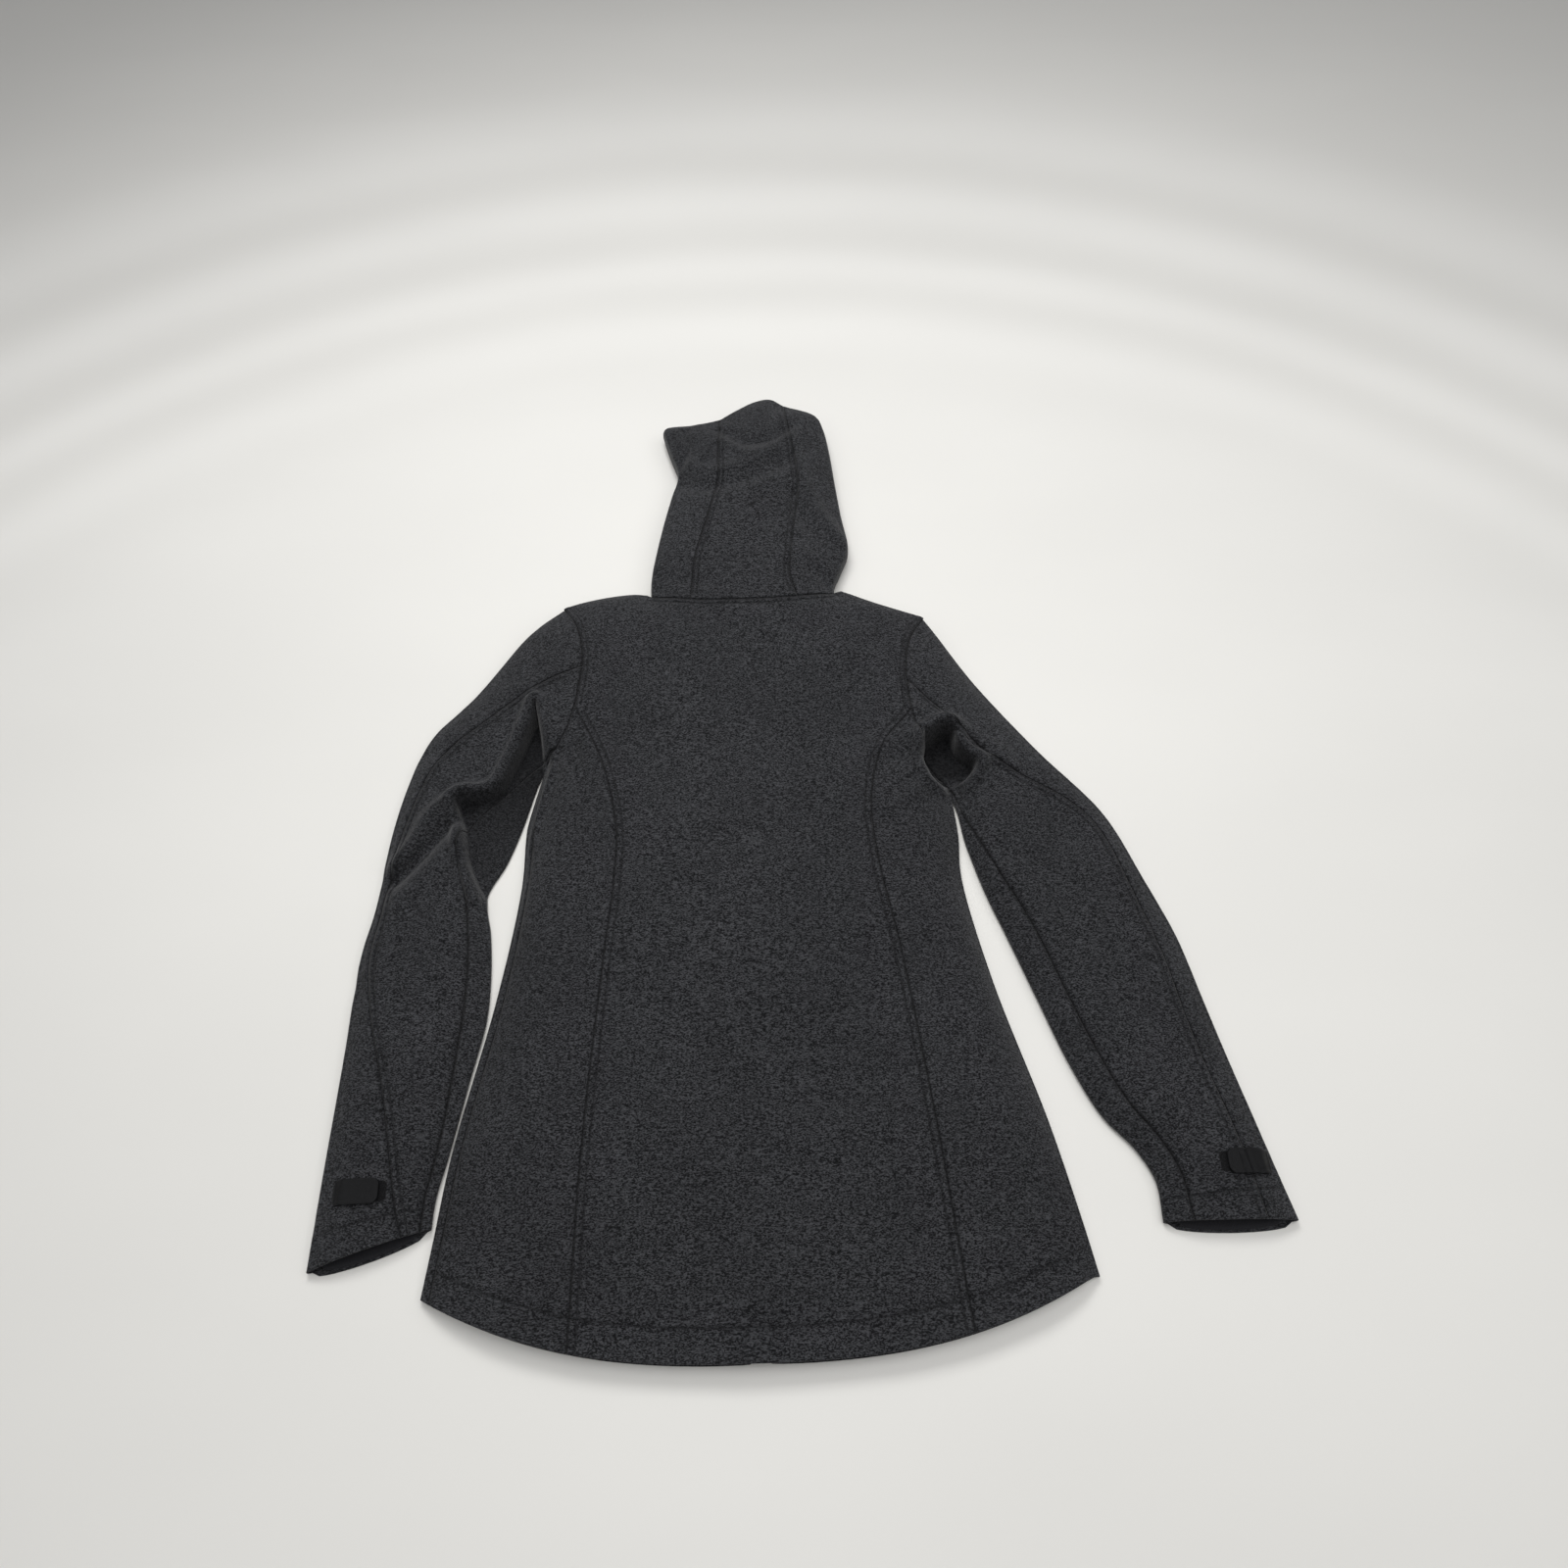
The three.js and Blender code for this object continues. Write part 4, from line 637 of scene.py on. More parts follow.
def mesh_piece(name, points, faces, shade=None):
    """An object from closed faces in the jacket's frame. place keeps where each point of the cloth lies
    at rest, so that a pattern goes with the cloth, and seam keeps how much darker the cloth is along
    seams and stitch rows, with the painted shade of the hollows at the armpits."""
    mesh = bpy.data.meshes.new(name)
    faces = outward_faces(points, faces)
    at_rest = placed(points)
    mesh.vertices.add(len(points))
    mesh.vertices.foreach_set("co", at_rest.ravel())
    mesh.loops.add(faces.size)
    mesh.loops.foreach_set("vertex_index", faces.ravel().astype(np.int32))
    mesh.polygons.add(len(faces))
    mesh.polygons.foreach_set("loop_start", np.arange(0, faces.size, 4, dtype=np.int32))
    mesh.update(calc_edges=True)
    mesh.shade_smooth()
    place = mesh.attributes.new("place", "FLOAT_VECTOR", "POINT")
    place.data.foreach_set("vector", at_rest.astype(np.float32).ravel())
    seam = mesh.attributes.new("seam", "FLOAT", "POINT")
    seam.data.foreach_set("value", (np.zeros(len(points)) if shade is None else shade).astype(np.float32))
    piece = bpy.data.objects.new(name, mesh)
    bpy.context.scene.collection.objects.link(piece)
    return piece


def mount(piece, body, nodes, finish):
    """Gives a piece its finish and hides the CAD nodes that it stands for. It is parented to the body that
    carries it, except on a sleeve or the hood, where its transform is only baked.
    """
    piece.data.materials.append(finish)
    if nodes:
        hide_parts(*nodes)
    if body in BLENDS:
        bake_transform(piece)
    else:
        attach(piece, body)
    return piece


def cut_size(middle, ring=False):
    """Width, length and area of the cloth before it was laid, measured along the middle grid: the
    longest row, the longest column, and the sum of its cells."""
    wide = np.vstack([middle.transpose(1, 0, 2), middle[:, :1].transpose(1, 0, 2)]).transpose(1, 0, 2)
    grid = wide if ring else middle
    across = np.linalg.norm(np.diff(grid, axis=1), axis=2).sum(1).max()
    along = np.linalg.norm(np.diff(grid, axis=0), axis=2).sum(0).max()
    one, two = grid[1:, 1:] - grid[:-1, :-1], grid[1:, :-1] - grid[:-1, 1:]
    area = np.linalg.norm(np.cross(one, two), axis=2).sum() / 2
    return (across * MM, along * MM), min(area * MM * MM, across * along * MM * MM)


def sew(name, middle, thick, finish, body, ring=False, shaded=False):
    """One sheet of cloth on a middle grid, made and mounted."""
    points, faces = layers(middle, thick, ring)
    shade = LAY["now"].seam_and_painted_hollow_shade(points[:, :2]) if shaded else None
    piece = mesh_piece(f"cloth_{name}", points, faces, shade)
    mount(piece, body, [name], finish)
    flat, area = cut_size(middle, ring)
    return piece


def raised(xy, z):
    return np.concatenate([xy, z[..., None]], axis=-1)


def grid(bottom, top, left, right, u, v):
    """A Coons patch whose columns are the rows of shares u, and whose rows are the shares v."""
    v = np.broadcast_to(v[:, None], (len(v), u.shape[1]))
    u = np.broadcast_to(u, v.shape) if u.shape[0] == 1 else u
    return patch(u, v, bottom, top, left, right)


def widths(left, right, v):
    return np.linalg.norm(at(left, v) - at(right, v), axis=1)


def quilt(bottom, top, left, right, step, ends=(SEWN, SEWN), sides=(SEWN, SEWN)):
    """A plan grid between four edges, fine beside them. ends are for the bottom and top."""
    tall = (np.linalg.norm(np.diff(left, axis=0), axis=1).sum()
            + np.linalg.norm(np.diff(right, axis=0), axis=1).sum()) / 2
    v = spaced(tall, step, *ends)[0]
    u = spaced(widths(left, right, v), step, *sides)
    return grid(bottom, top, left, right, u, v)


def turned(top, low, heading, count=7, last=-90):
    """Cloth round a fold: half ellipses from the point top down to the height low, bulging along the
    heading. Their half height is half the drop, and they bulge by as much up to 3.5 mm. last is the
    angle in degrees at which the cloth ends."""
    radius = (top[:, 2:] - low) / 2
    angle = np.linspace(math.pi / 2, math.radians(last), count + 2)[1:]
    angle = angle[:-1] if last == -90 else angle
    out = heading[:, None, :] * (np.minimum(radius, 3.5) * np.cos(angle))[:, :, None]
    z = low + radius * (1 + np.sin(angle))
    return np.concatenate([top[:, None, :2] + out, z[:, :, None]], axis=2)


def unit(vectors):
    return vectors / (np.linalg.norm(vectors, axis=-1, keepdims=True) + 1e-12)


LAY = {}


# ---------------------------------------------------------------- finishes
class Shade:
    """A number socket. An operator between two of them, or one and a plain number, adds a Math node."""

    def __init__(self, finish, socket):
        self.finish = finish
        self.socket = socket

    def maths(self, operation, *values):
        inputs = dict(enumerate(values))
        return self.finish.node("Math", {"operation": operation}, inputs)

    def __add__(self, other):
        return self.maths("ADD", self, other)

    def __sub__(self, other):
        return self.maths("SUBTRACT", self, other)

    def __rsub__(self, other):
        return self.maths("SUBTRACT", other, self)

    def __mul__(self, other):
        return self.maths("MULTIPLY", self, other)

    __radd__ = __add__
    __rmul__ = __mul__

    def clamped(self):
        return self.finish.node("Clamp", {}, {"Value": self})


class Nodes:
    """A node tree, to which nodes are added one call at a time."""

    def __init__(self, tree):
        self.nodes = tree.nodes
        self.links = tree.links

    def set(self, node, inputs):
        for key, value in inputs.items():
            socket = node.inputs[key]
            if isinstance(value, Shade):
                self.links.new(value.socket, socket)
            elif isinstance(socket.default_value, float):
                socket.default_value = value
            else:
                colour_of_three = len(socket.default_value) == 4 and len(value) == 3
                socket.default_value = (*value, 1) if colour_of_three else value

    def node(self, kind, settings, inputs, output=0):
        node = self.nodes.new("ShaderNode" + kind)
        for key, value in settings.items():
            if key == "stops":
                self.ramp(node.color_ramp, value)
            else:
                setattr(node, key, value)
        self.set(node, inputs)
        return Shade(self, node.outputs[output])

    def ramp(self, ramp, stops):
        """Eased stops, each a place and a colour."""
        ramp.interpolation = "EASE"
        for place, value in stops[1:-1]:
            ramp.elements.new(place)
        for stop, (place, value) in zip(ramp.elements, stops):
            stop.position = place
            stop.color = (*value, 1)


class Finish(Nodes):
    """A material with one Principled shader."""

    def __init__(self, name, **settings):
        self.material = bpy.data.materials.new(name)
        self.material.use_nodes = True
        super().__init__(self.material.node_tree)
        self.shader = self.nodes["Principled BSDF"]
        self.paint(**settings)

    def place(self, scale):
        """Where the cloth lies at rest, in metres, times a scale for each axis."""
        spot = self.node("Attribute", {"attribute_name": "place"}, {}, "Vector")
        return self.node("VectorMath", {"operation": "MULTIPLY"}, {0: spot, 1: scale})

    def spot(self, scale):
        """The object's own coordinates, in metres, times a scale for each axis."""
        spot = self.node("TexCoord", {}, {}, "Object")
        return self.node("VectorMath", {"operation": "MULTIPLY"}, {0: spot, 1: scale})

    def noise(self, where, detail=2.0, rough=0.5):
        inputs = {"Vector": where, "Scale": 1.0, "Detail": detail, "Roughness": rough}
        return self.node("TexNoise", {"noise_dimensions": "3D"}, inputs)

    def stepped(self, value, low, high, to_low=0.0, to_high=1.0):
        inputs = {"Value": value, "From Min": low, "From Max": high, "To Min": to_low, "To Max": to_high}
        return self.node("MapRange", {"interpolation_type": "SMOOTHSTEP"}, inputs)

    def mix(self, factor, one, two, blend="MIX"):
        settings = {"data_type": "RGBA", "blend_type": blend}
        return self.node("Mix", settings, {0: factor, 6: one, 7: two}, 2)

    def bump(self, height, strength, reach, under=None):
        inputs = {"Height": height, "Strength": strength, "Distance": reach}
        if under:
            inputs["Normal"] = under
        return self.node("Bump", {}, inputs)

    def paint(self, **inputs):
        self.set(self.shader, {key.replace("_", " "): value for key, value in inputs.items()})
        return self.material


def tinted(tint, factor, lift=0.0):
    return tuple(min(1, c * factor + lift) for c in tint)


def softshell_finish(colours):
    """Brushed heather knit: dark cloth under short level flecks of lighter yarn, each fleck a noise drawn
    out across the cloth, with fine ribs of knitting, a soft pile, darker cloth along the seams, and
    painted shade in the hollows at the armpits."""
    f = Finish("softshell_heather", Sheen_Weight=0.16, Sheen_Roughness=0.45, Specular_IOR_Level=0.25)
    yarn_dark, yarn_light = colours.yarn_dark, colours.yarn_light
    fleck = f.noise(f.place((540, 980, 540)), 2.0, 0.6)
    long_fleck = f.noise(f.place((230, 500, 230)), 2.5, 0.6)
    fine = f.noise(f.place((1100, 1900, 1100)), 1.0, 0.5)
    cloud = f.noise(f.place((11, 14, 11)), 3.0, 0.5)
    light = f.stepped(fleck, 0.43, 0.61) * 0.78 + f.stepped(long_fleck, 0.45, 0.65) * 0.42
    light = (light + (fine - 0.5) * 0.5).clamped()
    seam = f.node("Attribute", {"attribute_name": "seam"}, {}, "Fac")
    middle = tuple(dark * 0.62 + pale * 0.38 for dark, pale in zip(yarn_dark, yarn_light))
    base = f.mix(light, yarn_dark, yarn_light)
    base = f.mix(0.03, base, middle)
    base = f.mix(f.stepped(cloud, 0.3, 0.7, 0.0, 0.16), base, yarn_dark)
    # darker along seams and stitch rows, and painted shade in the hollows at the armpits
    base = f.mix(seam * 0.8, base, tinted(yarn_dark, 0.4))
    rib = f.node("TexWave", {"bands_direction": "X"}, {"Vector": f.place((1, 1, 1)), "Scale": 190.0,
                 "Distortion": 1.2, "Detail": 1.0, "Detail Scale": 2.0}, "Fac")
    height = light * 0.5 + fine * 0.6 + rib * 0.25
    normal = f.bump(height, 0.55, 0.0005)
    rough = f.stepped(fleck, 0.2, 0.8, 0.82, 0.98)
    return f.paint(Base_Color=base, Roughness=rough, Normal=normal)


def woven_finish(name, tint, rib_scale, direction, roughness=0.7):
    """Smooth warp-knit or tape: fine ribs one way, crossed by a finer noise."""
    f = Finish(name, Sheen_Weight=0.1, Specular_IOR_Level=0.35)
    rib = f.node("TexWave", {"bands_direction": direction}, {"Vector": f.place((1, 1, 1)),
                 "Scale": rib_scale, "Distortion": 0.4, "Detail": 1.0}, "Fac")
    grain = f.noise(f.place((1500, 1500, 1500)), 2.0)
    seam = f.node("Attribute", {"attribute_name": "seam"}, {}, "Fac")
    level = (rib * 0.55 + grain * 0.6).clamped()
    base = f.mix(level, tinted(tint, 0.55), tinted(tint, 1.7))
    base = f.mix(seam * 0.6, base, tinted(tint, 0.4))
    normal = f.bump(rib * 0.7 + grain * 0.4, 0.5, 0.0003)
    return f.paint(Base_Color=base, Roughness=f.stepped(grain, 0.2, 0.8, roughness - 0.1, roughness + 0.12),
                   Normal=normal)


def pile_finish(name, tint):
    """Hook and loop: small round heads on a cell pattern, over dark ground."""
    f = Finish(name, Sheen_Weight=0.2, Specular_IOR_Level=0.3)
    cells = f.node("TexVoronoi", {}, {"Vector": f.place((1, 1, 1)), "Scale": 900.0}, "Distance")
    fuzz = f.noise(f.place((2600, 2600, 2600)), 2.0)
    heads = (1 - f.stepped(cells, 0.05, 0.5)) * 0.8 + fuzz * 0.3
    base = f.mix(heads.clamped(), tinted(tint, 0.5), tinted(tint, 2.6))
    return f.paint(Base_Color=base, Roughness=f.stepped(fuzz, 0.2, 0.8, 0.75, 0.95),
                   Normal=f.bump(heads, 0.7, 0.0005))


def moulded_finish(name, tint, on_cloth=True):
    """Moulded rubber or nylon: a fine sandy grain, and lighter rubbed patches."""
    f = Finish(name, Specular_IOR_Level=0.45)
    where = f.place if on_cloth else f.spot
    grain = f.noise(where((3200, 3200, 3200)), 2.0)
    rubbed = f.noise(where((160, 160, 160)), 4.0, 0.6)
    base = f.mix(f.stepped(rubbed, 0.45, 0.75, 0.0, 0.6), tint, tinted(tint, 2.4, 0.004))
    rough = f.stepped(rubbed, 0.3, 0.8, 0.42, 0.62)
    return f.paint(Base_Color=base, Roughness=rough, Normal=f.bump(grain, 0.25, 0.0002))


def enamel_finish(name, tint):
    """Enamelled metal: a satin coat worn in small scuffs to brighter metal."""
    f = Finish(name, Coat_Roughness=0.25, Specular_IOR_Level=0.5)
    scuff = f.noise(f.spot((420, 420, 420)), 5.0, 0.65)
    fine = f.noise(f.spot((2400, 2400, 2400)), 1.0)
    worn = f.stepped(scuff, 0.6, 0.72)
    base = f.mix(worn * 0.7, tint, (0.22, 0.22, 0.23))
    return f.paint(Base_Color=base, Metallic=f.stepped(scuff, 0.5, 0.72, 0.75, 1.0),
                   Roughness=f.stepped(fine, 0.2, 0.8, 0.3, 0.45), Coat_Weight=0.4 - worn * 0.35,
                   Normal=f.bump(fine, 0.12, 0.0002))


def thread_finish(colours):
    """Spun thread: a fine diagonal twist."""
    f = Finish("sewing_thread", Sheen_Weight=0.15, Specular_IOR_Level=0.4)
    twist = f.node("TexWave", {"bands_direction": "DIAGONAL"}, {"Vector": f.place((1, 1, 1)),
                   "Scale": 700.0, "Distortion": 0.6}, "Fac")
    tint = colours.thread
    base = f.mix(twist, tinted(tint, 0.7), tinted(tint, 2.2))
    return f.paint(Base_Color=base, Roughness=f.stepped(twist, 0, 1, 0.55, 0.75),
                   Normal=f.bump(twist, 0.3, 0.0002))


def floor_finish(colours):
    """Glossy pale table: even paint with a faint cloudiness in its colour and gloss."""
    f = Finish("glossy_table", Coat_Roughness=0.03, Specular_IOR_Level=0.4)
    cloud = f.noise(f.spot((1.4, 3.2, 1.0)), 3.0, 0.5)
    fine = f.noise(f.spot((240, 240, 240)), 2.0)
    tint = colours.floor
    base = f.mix(f.stepped(cloud, 0.3, 0.7), tint, tinted(tint, 0.965))
    return f.paint(Base_Color=base, Roughness=f.stepped(cloud, 0.3, 0.7, 0.3, 0.36), Coat_Weight=0.9,
                   Normal=f.bump(fine, 0.02, 0.0002))


# ---------------------------------------------------------------- body
def up_the_back(lines):
    """One edge of the back panel, from the hem up the princess seam and the armhole to the shoulder."""
    line = np.vstack([lines["princess"][::-1], lines["armhole"][::-1][1:]])
    return line - [lines["sign"] * SEAM_AIR, 0]


def hem_between(first, last):
    line = hem_line(first[0], last[0])
    line[0], line[-1] = first, last
    return line


def back_panel(lay):
    left, right = (lay.sides[name] for name in SIDES)
    edges = up_the_back(left), up_the_back(right)
    x = np.linspace(-NECK_END, NECK_END, 40)
    neck = np.stack([x, neck_curve(x) - SEAM_AIR], axis=1)
    top = np.vstack([left["shoulder"][::-1], neck, right["shoulder"]])
    top[0], top[-1] = edges[0][-1], edges[1][-1]
    bottom = hem_between(edges[0][0], edges[1][0])
    plan = quilt(bottom, top, *edges, STEP, ends=(HEMMED, SEWN))
    cloth = raised(plan, lay.upper(plan))
    last = cloth[-1]
    shoulder = smooth((np.abs(last[:, 0]) - NECK_HALF) / 8)
    heading = np.stack([np.zeros_like(shoulder), shoulder + 1e-3], axis=1)
    low = last[:, 2] - 2.5 + (4.7 - last[:, 2]) * shoulder
    wall = turned(last, low[:, None], heading, 7, -55)
    return np.concatenate([cloth, wall.transpose(1, 0, 2)], axis=0)


def side_panel(lay, lines):
    """The back side panel, with its outer edge turned down round the folded side."""
    sign = lines["sign"]
    seam = lines["princess"][::-1] + [sign * SEAM_AIR, 0]
    side = lines["side"][::-1]
    bottom = hem_between(side[0], seam[0])
    top = lines["underarm"][::-1]
    plan = quilt(bottom, top, side, seam, STEP, ends=(HEMMED, BARE), sides=(SEWN, SEWN))
    cloth = raised(plan, lay.upper(plan))
    out = unit(cloth[:, 0, :2] - cloth[:, 1, :2])
    fold = turned(cloth[:, 0], 2.2, out, 6, -55)
    cloth = np.concatenate([fold[:, ::-1], cloth], axis=1)
    return cloth


def front_edges(lines):
    """The pocket seam of a front, from the hem by the zip and up to the armpit."""
    top = lines["princess"][0] * [lines["sign"], 1]
    low = abs(lines["princess"][-1, 0])
    above = POCKET_TOP + 6
    seam = np.array([
        [low, hem_curve(low)], [POCKET_X, POCKET_BOTTOM - PULL_ROOM], [POCKET_X, POCKET_BOTTOM - 6],
        [POCKET_X, POCKET_BOTTOM - 2], [POCKET_X, POCKET_TOP + 2], [POCKET_X, above],
        [POCKET_X - 8, above + (top[1] - above) * 0.29], [POCKET_X - 10, above + (top[1] - above) * 0.53],
        [POCKET_X + (top[0] - POCKET_X) * 0.4 - 6, above + (top[1] - above) * 0.77], top,
    ])
    runs = [np.linspace(low_y, high_y, 12)[:-1] for low_y, high_y in zip(seam[:-1, 1], seam[1:, 1])]
    y = np.append(np.concatenate(runs), top[1])
    x = np.interp(y, seam[:, 1], seam[:, 0])
    open_zip = (y > POCKET_BOTTOM - 3) & (y < POCKET_TOP + 3)
    return x, y, np.where(open_zip, ZIP_SLOT, SEAM_AIR)


def fronts(lay, lines):
    """Middle grids of a front panel and its side panel."""
    sign = lines["sign"]
    x, y, gap = front_edges(lines)
    inner = np.stack([sign * (x - gap), y], 1)
    outer = np.stack([sign * (x + gap), y], 1)
    inside_edge = np.vstack([inner, (lines["armhole"][::-1] - [sign * SEAM_AIR, 0])[1:]])
    neckline = outwards(lines, spline([*NECKLINE, [NECK_END, -0.5]], 60))
    zip_edge = np.stack([np.full(40, sign * ZIP_SLOT), np.linspace(hem_curve(0) + 1, -NECK_DROP, 40)], 1)
    top = np.vstack([neckline, lines["shoulder"][1:]])
    top[-1] = inside_edge[-1]
    bottom = hem_between(zip_edge[0], inside_edge[0])
    panel = quilt(bottom, top, zip_edge, inside_edge, WIDE_STEP, (BARE, BARE), (BARE, BARE))
    side = lines["side"][::-1]
    under = lines["underarm"][::-1].copy()
    under[-1] = outer[-1]
    low = hem_between(side[0], outer[0])
    flank = quilt(low, under, side, outer, WIDE_STEP, (BARE, BARE), (BARE, BARE))
    return raised(panel, lay.curled(panel)), raised(flank, lay.curled(flank))


def collar(lay, lines):
    low = outwards(lines, spline(NECKLINE, 60)) + [0, 0.5]
    high = np.stack([low[:, 0], np.full(60, -1.5)], 1)
    plan = quilt(low, high, np.stack([low[0], high[0]]), np.stack([low[-1], high[-1]]), 3.5, (BARE, BARE),
                 (BARE, BARE))
    return raised(plan, lay.lower(plan))


def band(x0, x1, low, high, step=4.0):
    """A level band of cloth in plan: between two lines given as functions of x."""
    x = np.linspace(x0, x1, max(3, int(abs(x1 - x0) / step)))
    share = np.concatenate([[0, 0.04], np.linspace(0.1, 0.9, 7), [0.96, 1]])[:, None]
    y = low(x)[None] + (high(x) - low(x))[None] * share
    return np.stack([np.broadcast_to(x, y.shape), y], axis=-1)


def hem_band(x0, x1):
    return band(x0, x1, lambda x: hem_curve(x) + FACING_LOW, lambda x: hem_curve(x) + FACING_HIGH)


def plan_box(node):
    """The two corners of a CAD node's box, in the jacket's frame."""
    return [(np.array(corner) - ORIGIN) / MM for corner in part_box(node)]


def box_grid(node, step):
    """A level cloth that fills a CAD node's box in plan, lying at its middle height. Returns the grid and
    its thickness."""
    low, high = plan_box(node)
    xs = np.linspace(low[0], high[0], max(3, int((high[0] - low[0]) / step) + 2))
    ys = np.linspace(low[1], high[1], max(3, int((high[1] - low[1]) / step) + 2))
    plan = np.stack(np.meshgrid(xs, ys), axis=-1)
    return raised(plan, np.full(plan.shape[:2], (low[2] + high[2]) / 2)), high[2] - low[2]


def capsules(centres, headings, ups, size, sides=4):
    """Many small rounded bars as one mesh. Each is four rings of a few points along its heading, the
    end rings drawn in. size is half its length, half its width and half its height."""
    long, wide, tall = size
    stations = np.array([[-1, 0.45], [-0.55, 1], [0.55, 1], [1, 0.45]])
    angle = np.arange(sides) / sides * 2 * math.pi + math.pi / sides
    across = unit(np.cross(headings, ups))
    ups = unit(np.cross(across, headings))
    rings = (centres[:, None, None] + headings[:, None, None] * (stations[:, 0] * long)[:, None, None]
             + across[:, None, None] * (stations[:, 1:] * np.cos(angle) * wide)[:, :, None]
             + ups[:, None, None] * (stations[:, 1:] * np.sin(angle) * tall)[:, :, None])
    count = len(stations) * sides
    one = np.arange(count).reshape(len(stations), sides)
    wrap = np.roll(one, -1, axis=1)
    quads = np.stack([one[:-1], wrap[:-1], wrap[1:], one[1:]], -1).reshape(-1, 4)
    pairs = range(sides // 2 - 1)
    caps = [[one[0, (k + 1) % sides], one[0, k], one[0, -1 - k], one[0, -2 - k]] for k in pairs]
    caps += [[one[-1, k], one[-1, (k + 1) % sides], one[-1, -2 - k], one[-1, -1 - k]] for k in pairs]
    quads = np.vstack([quads, caps])
    faces = quads[None] + (np.arange(len(centres)) * count)[:, None, None]
    return rings.reshape(-1, 3), faces.reshape(-1, 4)


def stitches(lay, body):
    """Stitches of every row on a body: bars laid along the row at even steps, on top of the cloth."""
    spots, headings = [], []
    for line, owner in lay.rows_of:
        if owner != body:
            continue
        run = np.linalg.norm(np.diff(line, axis=0), axis=1).sum()
        share = (np.arange(int(run / lay.stitch)) + 0.5) * lay.stitch / run
        spots.append(at(line, share))
        headings.append(at(line, share + 0.4 / run) - at(line, share - 0.4 / run))
    plan, heading = np.vstack(spots), np.vstack(headings)
    top = lay.upper(plan) + lay.cloth / 2 + lay.thread * 0.18
    rise = lay.upper(plan + heading) - lay.upper(plan - heading)
    heading = unit(np.column_stack([heading, rise / 2]))
    ups = np.broadcast_to([0.0, 0.0, 1.0], heading.shape)
    size = (lay.stitch * 0.41, lay.thread / 2, lay.thread / 2)
    return capsules(np.column_stack([plan, top]), heading, ups, size)


def coils(node, pitch, halves):
    """A zip's coils from its chain's box: bars across the zip at even steps, the halves out of step."""
    low, high = plan_box(node)
    y = np.arange(low[1] + pitch / 2, high[1] - pitch / 2, pitch)
    middle = (low[0] + high[0]) / 2
    starts = [(low[0], high[0])] if halves == 1 else [(low[0], middle - 0.5), (middle + 0.5, high[0])]
    spots = []
    for index, (x0, x1) in enumerate(starts):
        shift = pitch / 2 * (index if halves == 2 else (middle > 0))
        z = np.full(len(y), (low[2] + high[2]) / 2)
        spots.append(np.column_stack([np.full(len(y), (x0 + x1) / 2), y + shift * 0.9, z]))
    centres = np.vstack(spots)
    heading = np.broadcast_to([1.0, 0.0, 0.0], centres.shape)
    ups = np.broadcast_to([0.0, 0.0, 1.0], centres.shape)
    half = (starts[0][1] - starts[0][0]) / 2
    return capsules(centres, heading, ups, (half, pitch * 0.42, (high[2] - low[2]) / 2), 6)


# ---------------------------------------------------------------- sleeves
CUFF_STEP = 8  # how much further the lower side of a cuff lies than the upper
CUFF_FROM, CUFF_SPAN = 0.965, 0.035  # shares of the sleeve over which it comes to lie so
FACING_FROM, FACING_TO = 0.962, 0.997  # shares of the sleeve that a cuff facing covers
FACING_ROOM = 0.6  # between a cuff facing and the sleeve round it


def sleeve_rings(lay, lines, s, w0, w1, inset=0.0, drop=0.0, fine=True):
    """Rings of a sleeve: back cloth from the share w0 to the outer fold, the fold, the front cloth on the
    table, the inner fold, and back cloth to the share w1."""
    outer = lay.sleeve_plan(lines, s, np.zeros_like(s))
    inner = lay.sleeve_plan(lines, s, np.ones_like(s))
    width = np.linalg.norm(outer - inner, axis=1)
    edge = (inset + lay.fold + lay.cloth / 2) / width
    low = lay.floor + drop
    w0 = np.maximum(w0, edge * 1.5)
    w1 = np.minimum(w1, 1 - edge * 1.5)

    def tops(first, last, fine_first, fine_last):
        span = np.abs(last - first) * width
        share = spaced(span, STEP, fine_first, fine_last) if fine else np.linspace(0, 1, 9)[None]
        w = first[:, None] + (last - first)[:, None] * share
        plan = lay.sleeve_plan(lines, np.broadcast_to(s[:, None], w.shape), w)
        return raised(plan, lay.upper(plan) - drop)

    few = [0, 0.5, 1.0]
    first = tops(w0, edge, few, [0])
    last = tops(1 - edge, w1, [0], few)
    out, into = unit(outer - inner), unit(inner - outer)
    share = np.linspace(0, 1, 16)
    w = edge[:, None] + (1 - 2 * edge)[:, None] * share
    plan = lay.sleeve_plan(lines, np.broadcast_to(s[:, None], w.shape), w)
    longer = CUFF_STEP * smooth((s - CUFF_FROM) / CUFF_SPAN)[:, None] * np.sin(math.pi * share) ** 0.35
    plan = plan - np.stack([np.zeros_like(w), np.broadcast_to(longer, w.shape)], axis=-1)
    front = raised(plan, np.full(w.shape, low))
    round_outer = turned(first[:, -1], low, out)
    round_inner = turned(last[:, 0], low, into)[:, ::-1]
    return np.concatenate([first, round_outer, front, round_inner, last], axis=1)


def sleeve_stations(step):
    along = spaced(SLEEVE_LENGTH, step, SEWN, HEMMED)[0]
    return 0.001 + 0.999 * along


def sleeve_front(lay, lines):
    s = sleeve_stations(STEP * 1.25)
    gap = SEAM_AIR / SLEEVE_WIDTH
    w0 = np.interp(s, lines["back_seam"][:, 0], lines["back_seam"][:, 1]) - gap
    w1 = np.interp(s, lines["under_seam"][:, 0], lines["under_seam"][:, 1]) + gap
    return sleeve_rings(lay, lines, s, w0, w1)


